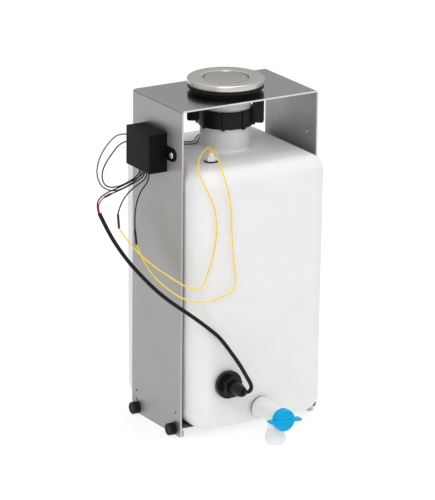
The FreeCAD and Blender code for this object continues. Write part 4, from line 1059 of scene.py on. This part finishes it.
@dataclass
class Tank:
    """Blow-moulded tank with a flared, threaded neck."""

    draft: float = 0.02
    wall: float = 3.0 * MM
    corner: float = 21.0 * MM
    top_edge: float = 20.0 * MM
    bottom_edge: float = 19.0 * MM
    top: float = 327.0 * MM
    flare: float = 3.5 * MM
    neck_radius: float = 28.5 * MM
    crest_radius: float = 29.8 * MM
    pitch: float = 2.31 * MM
    neck_top: float = 368.0 * MM
    waviness: float = 0.5 * MM
    per_corner: int = 14
    per_side: int = 22
    edge_steps: int = 9
    side_steps: int = 40
    neck_steps: int = 6
    flare_steps: int = 8
    least_corner: float = 1.5 * MM
    shoulder_rise: float = 0.6 * MM
    seal_reach: float = 19.0 * MM
    fittings: tuple[tuple[float, float], ...] = ((-50.5 * MM, 71.0 * MM), (-4.5 * MM, 34.0 * MM))

    def outline(self, half_x: float, half_y: float, radius: float) -> list[tuple[float, float]]:
        """Rounded rectangle with the same number of points at every size.

        Args:
            half_x: Half its width.
            half_y: Half its depth.
            radius: Its corners' radius.

        Returns:
            Its points, anticlockwise.
        """
        points = []
        for index, (sx, sy) in enumerate(((1, 1), (-1, 1), (-1, -1), (1, -1))):
            cx, cy = sx * (half_x - radius), sy * (half_y - radius)
            for step in range(self.per_corner + 1):
                angle = math.pi / 2 * (index + step / self.per_corner)
                points.append((cx + radius * math.cos(angle), cy + radius * math.sin(angle)))
            along = half_x - radius if index % 2 == 0 else half_y - radius
            direction = ((-1, 0), (0, -1), (1, 0), (0, 1))[index]
            start = points[-1]
            for step in range(1, self.per_side):
                reach = 2 * along * step / self.per_side
                points.append((start[0] + direction[0] * reach, start[1] + direction[1] * reach))
        return points

    def wave(self, place: Vector) -> float:
        """Depth of the wall's slight sinks at a point, none round a fitting.

        Args:
            place: The point.

        Returns:
            The depth, never outwards.
        """
        nearest = min(math.dist((place.x, place.z), fitting) for fitting in self.fittings)
        share = min(1.0, max(0.0, (nearest - self.seal_reach) / self.seal_reach))
        slow = noise.noise(place * 14.0)
        return -self.waviness * share * (0.5 + 0.5 * slow)

    def rings(self, low: float, half: tuple[float, float]) -> list[list[Point]]:
        """Closed rings from the bottom's middle to the neck's foot.

        Args:
            low: Height of the bottom.
            half: Half the width and half the depth at the top.

        Returns:
            The rings.
        """
        rings = []

        def add(height: float, inset: float, scale: float = 1.0) -> None:
            """Add the ring at one height, drawn in by an inset."""
            rise = (height - low) / (self.top - low)
            share = 1 - self.draft * (1 - rise)
            radius = max(self.corner - inset, self.least_corner)
            shape = self.outline(share * half[0] - inset, share * half[1] - inset, radius)
            rings.append([(x * scale, y * scale, height) for x, y in shape])

        for scale in (0.12, 0.4, 0.7, 0.9):
            add(low, self.bottom_edge, scale)
        for step in range(self.edge_steps):
            angle = math.pi / 2 * step / (self.edge_steps - 1)
            add(low + self.bottom_edge * (1 - math.cos(angle)), self.bottom_edge * (1 - math.sin(angle)))
        side_low, side_high = low + self.bottom_edge, self.top - self.top_edge
        for step in range(1, self.side_steps):
            add(side_low + (side_high - side_low) * step / self.side_steps, 0.0)
        for step in range(self.edge_steps + 1):
            angle = math.pi / 2 * step / self.edge_steps
            add(self.top - self.top_edge * (1 - math.sin(angle)), self.top_edge * (1 - math.cos(angle)))
        edge = rings[-1]
        foot = self.crest_radius + self.flare
        for share in (0.08, 0.3, 0.55, 0.78, 0.93, 1.0):
            ring = []
            for x, y, _ in edge:
                reach = math.hypot(x, y)
                blended = reach + (foot - reach) * share
                height = self.top + self.shoulder_rise * share ** 2
                ring.append((x / reach * blended, y / reach * blended, height))
            rings.append(ring)
        return rings

    def neck(self, ring: Sequence[Point]) -> list[list[Point]]:
        """Rings of the flare and the neck above one ring.

        Args:
            ring: The flare's foot, for its directions.

        Returns:
            The rings.
        """
        rings = []
        root = self.neck_radius
        start = self.top + self.shoulder_rise
        spread, foot = self.crest_radius + self.flare - root, start + self.flare
        levels = []
        for step in range(1, self.flare_steps + 1):
            angle = math.pi / 2 * step / self.flare_steps
            levels.append((root + spread * (1 - math.sin(angle)), start + self.flare * (1 - math.cos(angle))))
        rise = self.neck_top - 1.0 * MM - foot
        levels += [(root, foot + rise * step / self.neck_steps) for step in range(1, self.neck_steps + 1)]
        levels += [(root - 0.4 * MM, self.neck_top)]
        for radius, height in levels:
            rings.append([(x / math.hypot(x, y) * radius, y / math.hypot(x, y) * radius, height)
                          for x, y, _ in ring])
        return rings

    def build(self, model: Model, repeats: Repeats) -> None:
        """Build the tank.

        Args:
            model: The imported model.
            repeats: Trees for its thread.
        """
        low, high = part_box("tank_shell")
        half = ((high[0] - low[0]) / 2, (high[1] - low[1]) / 2)
        rings = self.rings(low[2], half)
        rings += self.neck(rings[-1])
        mesh = bmesh.new()
        layers = []
        for ring in rings:
            layer = []
            for point in ring:
                place = Vector(point)
                if low[2] + self.bottom_edge < place.z < self.top - self.top_edge:
                    outward = Vector((place.x, place.y, 0.0)).normalized()
                    place += outward * self.wave(place)
                layer.append(mesh.verts.new(place))
            layers.append(layer)
        count = len(layers[0])
        pole = mesh.verts.new((0.0, 0.0, low[2]))
        for i in range(count):
            j = (i + 1) % count
            mesh.faces.new((pole, layers[0][j], layers[0][i]))
            for under, over in zip(layers, layers[1:]):
                mesh.faces.new((under[i], under[j], over[j], over[i]))
        bmesh.ops.recalc_face_normals(mesh, faces=mesh.faces)
        shell = to_object("tank_shell_moulded", mesh, 60.0)
        solid = shell.modifiers.new("wall", "SOLIDIFY")
        solid.thickness = self.wall
        solid.offset = -1.0
        solid.use_even_offset = True
        graph = bpy.context.evaluated_depsgraph_get()
        walled = bpy.data.meshes.new_from_object(shell.evaluated_get(graph))
        shell.modifiers.clear()
        mesh = bmesh.new()
        mesh.from_mesh(walled)
        bpy.data.meshes.remove(walled)
        ridge = screw_ridge(repeats, self.crest_radius, 0.75 * MM, self.pitch, self.top + 1.2 * self.flare,
                            self.neck_top - 1.5 * MM)
        gather(mesh, [ridge])
        mesh.to_mesh(shell.data)
        mesh.free()
        shell.data.shade_smooth()
        shell.data.set_sharp_from_angle(angle=math.radians(60.0))
        model.settle(shell, "tank_shell")


@dataclass
class Filler:
    """Coupling nut, threaded tail, gasket, cover disc and lift-out plug."""

    nut_base: float = 356.0 * MM
    nut_height: float = 21.0 * MM
    nut_radius: float = 32.6 * MM
    nut_bore: float = 29.86 * MM
    ribs: int = 8
    rib_radius: float = 2.2 * MM
    wing_reach: float = 45.0 * MM
    wing_thickness: float = 7.0 * MM
    wing_height: float = 27.0 * MM
    wing_lift: float = 2.0 * MM
    wing_turn: float = -36.0
    tail_root: float = 28.9 * MM
    tail_crest: float = 29.8 * MM
    throat: float = 24.5 * MM
    pitch: float = 2.31 * MM
    lip_radius: float = 36.0 * MM
    lip_thickness: float = 3.0 * MM
    gasket_undercut: float = 5.0 * MM
    disc_edge: float = 2.2 * MM
    plug_radius: float = 26.0 * MM
    ring_gap: float = 0.8 * MM

    def nut(self, model: Model, repeats: Repeats) -> None:
        """Ribbed ring with two grip wings.

        Args:
            model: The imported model.
            repeats: Trees for its ribs.
        """
        base, top = self.nut_base, self.nut_base + self.nut_height
        r, bore = self.nut_radius, self.nut_bore
        profile = [(bore, base + 0.6 * MM), (bore + 0.6 * MM, base), (r - 0.6 * MM, base)]
        profile += [(r, base + 0.6 * MM), (r, top - 3.4 * MM), (r - 0.5 * MM, top - 2.9 * MM)]
        profile += [(r - 0.5 * MM, top - 0.8 * MM)]
        profile += [(r - 1.2 * MM, top), (bore + 0.6 * MM, top), (bore, top - 0.6 * MM)]
        ribs = rib_ring(repeats, self.ribs, r, self.rib_radius, self.nut_height - 0.2 * MM, base - 0.8 * MM)
        bmesh.ops.rotate(ribs, verts=ribs.verts, cent=(0, 0, 0),
                         matrix=Matrix.Rotation(math.radians(self.wing_turn), 3, "Z"))
        mesh = gather(turned(profile, 128), [ribs])
        low = base + self.wing_lift
        for turn in (self.wing_turn, self.wing_turn + 180.0):
            wing = block((bore + 1.6 * MM, -self.wing_thickness / 2, low),
                         (self.wing_reach, self.wing_thickness / 2, low + self.wing_height))
            tips = [e for e in wing.edges if all(v.co.x > self.wing_reach - 1e-5 for v in e.verts)]
            bmesh.ops.bevel(wing, geom=tips, offset=2.4 * MM, segments=5, affect="EDGES", profile=0.5)
            bmesh.ops.rotate(wing, verts=wing.verts, cent=(0, 0, 0),
                             matrix=Matrix.Rotation(math.radians(turn), 3, "Z"))
            gather(mesh, [wing])
        piece = soften(to_object("coupling_nut_grip", mesh), 0.35 * MM, 2, 40.0)
        model.settle(piece, "coupling_nut")

    def tail(self, model: Model, repeats: Repeats) -> None:
        """Threaded tail with the lip that hangs on the gasket.

        Args:
            model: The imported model.
            repeats: Trees for its thread.
        """
        low, high = (corner[2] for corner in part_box("filler_body"))
        lip = high - self.lip_thickness
        profile = [(self.throat, low + 0.5 * MM), (self.throat + 0.5 * MM, low)]
        profile += [(self.tail_root - 0.5 * MM, low), (self.tail_root, low + 0.5 * MM)]
        profile += [(self.tail_root, lip - 16 * MM), (self.tail_crest, lip - 15 * MM)]
        profile += [(self.tail_crest, lip), (self.lip_radius, lip), (self.lip_radius, high)]
        profile += [(self.throat + 0.8 * MM, high), (self.throat, high - 0.8 * MM)]
        ridge = screw_ridge(repeats, self.tail_crest, 0.75 * MM, self.pitch, low + 1.2 * MM, lip - 14.5 * MM)
        mesh = gather(turned(profile, 128), [ridge])
        model.settle(to_object("filler_tail", mesh), "filler_body")

    def cover(self, model: Model) -> None:
        """Gasket, crowned disc and the plug's button.

        Args:
            model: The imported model.
        """
        low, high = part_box("filler_gasket")
        rim, base, top = high[0], low[2], high[2]
        foot = rim - self.gasket_undercut
        lip, tail = self.lip_radius + 0.3 * MM, self.tail_crest + 0.3 * MM
        profile = [(tail, base), (foot - 0.3 * MM, base), (foot, base + 0.4 * MM)]
        profile += [(foot + 0.2 * MM, base + 2.2 * MM), (foot + 1.6 * MM, base + 3.4 * MM)]
        profile += [(rim - 0.9 * MM, top - 4.9 * MM)]
        profile += [(rim, top - 4.1 * MM), (rim, top - 0.3 * MM)]
        profile += [(rim - 0.3 * MM, top), (lip, top), (lip, top - self.lip_thickness)]
        profile += [(tail, top - self.lip_thickness)]
        model.settle(to_object("gasket_collar", turned(profile, 144)), "filler_gasket")
        low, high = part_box("filler_disc")
        r, base, crown = high[0], low[2], high[2]
        bore, top, edge = self.plug_radius + self.ring_gap, crown - 0.2 * MM, self.disc_edge
        profile = [(bore, base), (r - 0.5 * MM, base), (r, base + 0.5 * MM)]
        profile += bow((r, top - edge), (r - edge, top), (r - edge, top - edge), 8)
        profile += [(bore + 6.0 * MM, crown - 0.02 * MM), (bore + 0.8 * MM, crown - 0.06 * MM)]
        profile += [(bore + 0.2 * MM, crown - 0.3 * MM), (bore, crown - 0.8 * MM)]
        model.settle(to_object("cover_disc_turned", turned(profile, 192)), "filler_disc")
        low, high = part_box("plug_cap")
        r, base, crown = high[0], low[2], high[2]
        profile = [(0.0, base), (r - 0.3 * MM, base), (r, base + 0.3 * MM), (r, crown - 1.9 * MM)]
        profile += [(r - 0.3 * MM, crown - 1.4 * MM), (r - 1.0 * MM, crown - 1.1 * MM)]
        profile += [(r * (1 - share), crown - 1.1 * MM + 1.1 * MM * math.sin(math.pi / 2 * share))
                    for share in (0.12, 0.22, 0.34, 0.48, 0.64, 0.82)]
        profile += [(0.0, crown)]
        model.settle(to_object("plug_button", turned(profile, 160, closed=False)), "plug_cap")

    def build(self, model: Model, repeats: Repeats) -> None:
        """Build the sub-assembly.

        Args:
            model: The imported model.
            repeats: Trees for what repeats.
        """
        self.nut(model, repeats)
        self.tail(model, repeats)
        self.cover(model)
        refined(model, "plug_body", 0.4 * MM)
        for node in ("union_seal", "plug_seal"):
            model.dress(node)


@dataclass
class LowSwitch:
    """Low-level float switch with its cable gland."""

    gland_radius: float = 8.3 * MM
    gland_length: float = 20.0 * MM
    ribs: int = 16
    thread_bore: float = 6.56 * MM
    thread_depth: float = 9.5 * MM
    cable_bore: float = 2.45 * MM

    def gland(self, model: Model, repeats: Repeats) -> None:
        """Domed, ribbed gland nut.

        Args:
            model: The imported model.
            repeats: Trees for its ribs.
        """
        low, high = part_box("gland_nut")
        r, length, bore = self.gland_radius, self.gland_length, self.cable_bore
        profile = [(self.thread_bore, 0.0), (r - 0.9 * MM, 0.0), (r - 0.5 * MM, 0.4 * MM)]
        profile += [(r - 0.5 * MM, 10.4 * MM)]
        profile += [(r - 0.7 * MM, 11.6 * MM), (r - 1.1 * MM, 13.8 * MM), (r - 1.7 * MM, 16.2 * MM)]
        profile += [(r - 2.4 * MM, 18.4 * MM), (r - 3.1 * MM, length - 0.4 * MM), (r - 3.8 * MM, length)]
        profile += [(bore + 0.3 * MM, length), (bore, length - 0.4 * MM)]
        profile += [(bore, self.thread_depth), (self.thread_bore, self.thread_depth)]
        ribs = rib_ring(repeats, self.ribs, r - 0.75 * MM, 0.75 * MM, 9.8 * MM, 0.5 * MM)
        mesh = gather(turned(profile, 80), [ribs])
        place = aim("-y", ((low[0] + high[0]) / 2, high[1], (low[2] + high[2]) / 2))
        bmesh.ops.transform(mesh, matrix=place, verts=mesh.verts)
        model.settle(to_object("gland_nut_domed", mesh), "gland_nut")

    def build(self, model: Model, repeats: Repeats) -> None:
        """Build the sub-assembly.

        Args:
            model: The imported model.
            repeats: Trees for what repeats.
        """
        refined(model, "sensor_body", 0.4 * MM)
        refined(model, "sensor_float", 0.3 * MM)
        refined(model, "sensor_locknut", 0.3 * MM)
        self.gland(model, repeats)
        for node in ("sensor_seal", "gland_seal", "float_pin"):
            model.dress(node)


@dataclass
class HighSwitch:
    """High-level float switch in the tank's top."""

    edge: float = 0.35 * MM

    def build(self, model: Model) -> None:
        """Build the sub-assembly.

        Args:
            model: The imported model.
        """
        for node in ("top_switch_body", "top_switch_nut", "top_switch_float"):
            refined(model, node, self.edge)
        for node in ("top_switch_seal", "top_switch_clip"):
            model.dress(node)


@dataclass
class DrainTap:
    """Quarter-turn drain tap."""

    edge: float = 0.5 * MM

    def build(self, model: Model) -> None:
        """Build the sub-assembly.

        Args:
            model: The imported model.
        """
        for node in ("drain_body", "drain_bonnet", "drain_locknut", "drain_handle"):
            refined(model, node, self.edge)
        for node in ("drain_seal", "drain_core", "drain_core_seals"):
            model.dress(node)


@dataclass
class RelayModule:
    """Relay module on the left leg."""

    edge: float = 0.9 * MM

    def build(self, model: Model) -> None:
        """Build the sub-assembly.

        Args:
            model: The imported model.
        """
        refined(model, "module_case", self.edge, 3)
        refined(model, "module_screws", 0.25 * MM)
        refined(model, "module_nuts", 0.2 * MM)
        for node in ("module_cover", "module_board", "module_relay", "module_terminals", "module_wire_seal"):
            model.dress(node)


# ---- Studio ----------------------------------------------------------------------
@dataclass
class Studio:
    """Camera, floor, sky and soft lights."""

    azimuth: float = 31.517
    elevation: float = 17.779
    roll: float = 0.5427
    distance: float = 4.8466
    target_height: float = 0.2
    shift_right: float = -0.0077
    shift_up: float = 0.0003
    lens: float = 296.7
    floor_reach: float = 9.0

    def camera(self) -> None:
        """Set the camera on the object's left front."""
        turn, tilt, roll = (math.radians(a) for a in (self.azimuth, self.elevation, self.roll))
        back = Vector((-math.sin(turn) * math.cos(tilt), -math.cos(turn) * math.cos(tilt), math.sin(tilt)))
        level = Vector((math.cos(turn), -math.sin(turn), 0.0))
        up = back.cross(level)
        right = math.cos(roll) * level + math.sin(roll) * up
        above = -math.sin(roll) * level + math.cos(roll) * up
        place = Vector((0, 0, self.target_height)) + self.distance * back
        place += self.shift_right * right + self.shift_up * above
        data = bpy.data.cameras.new("studio_camera")
        data.lens = self.lens
        data.sensor_width = 36.0
        data.clip_end = 60.0
        made = link("studio_camera", data)
        made.matrix_world = Matrix((right, above, back)).transposed().to_4x4()
        made.location = place
        bpy.context.scene.camera = made

    def floor(self) -> None:
        """Lay a plain pale floor."""
        mesh = bmesh.new()
        bmesh.ops.create_grid(mesh, x_segments=1, y_segments=1, size=self.floor_reach)
        made = to_object("studio_floor", mesh)
        material = bpy.data.materials.new("pale_floor")
        material.use_nodes = True
        shader = material.node_tree.nodes["Principled BSDF"]
        shader.inputs["Base Color"].default_value = (0.3, 0.3, 0.3, 1.0)
        shader.inputs["Roughness"].default_value = 0.9
        shader.inputs["Specular IOR Level"].default_value = 0.1
        shader.inputs["Emission Color"].default_value = (1.0, 1.0, 1.0, 1.0)
        shader.inputs["Emission Strength"].default_value = 0.74
        made.data.materials.append(material)

    def sky(self) -> None:
        """Fill the surroundings with soft white, dimmer behind and brighter overhead."""
        world = bpy.data.worlds.new("soft_white")
        world.use_nodes = True
        world.node_tree.nodes.clear()
        graph = Graph(world.node_tree)
        way = graph.add("ShaderNodeTexCoord").outputs["Generated"]
        parts = graph.add("ShaderNodeSeparateXYZ", {0: way}).outputs
        rise = graph.spread(parts["Z"], (0.0, 0.9), (0.0, 1.0))
        front = graph.spread(parts["Y"], (0.6, -0.8), (0.36, 0.78))
        strength = graph.add("ShaderNodeMix", {0: rise, 2: front, 3: 0.98}, data_type="FLOAT").outputs[0]
        light = graph.add("ShaderNodeBackground", {"Color": (1.0, 1.0, 1.0, 1.0), "Strength": strength})
        graph.add("ShaderNodeOutputWorld", {"Surface": light.outputs[0]})
        bpy.context.scene.world = world

    def softbox(self, name: str, place: Point, size: float, power: float) -> None:
        """Hang one square soft light that faces the object.

        Args:
            name: Its name.
            place: Its place.
            size: Its side.
            power: Its power in watts.
        """
        data = bpy.data.lights.new(name, "AREA")
        data.size = size
        data.energy = power
        made = link(name, data)
        made.location = place
        made.rotation_euler = (Vector((0, 0, 0.2)) - Vector(place)).to_track_quat("-Z", "Y").to_euler()

    def build(self) -> None:
        """Set up the camera, the floor and the lights."""
        self.camera()
        self.floor()
        self.sky()
        self.softbox("key_light", (-1.6, -2.2, 2.4), 1.6, 25.0)
        self.softbox("top_light", (0.6, 0.2, 2.8), 1.4, 14.0)
        settings = bpy.context.scene.view_settings
        settings.view_transform = "Standard"
        settings.look = "None"


def main() -> None:
    """Build the studio, the cords and every sub-assembly."""
    logging.basicConfig(level=logging.INFO, format="%(name)s: %(message)s")
    model = Model(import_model())
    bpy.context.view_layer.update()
    Studio().build()
    Wiring().build(model)
    repeats = Repeats()
    Hanger().build(model, repeats)
    Tank().build(model, repeats)
    Filler().build(model, repeats)
    LowSwitch().build(model, repeats)
    HighSwitch().build(model)
    DrainTap().build(model)
    RelayModule().build(model)


if __name__ == "__main__":
    main()
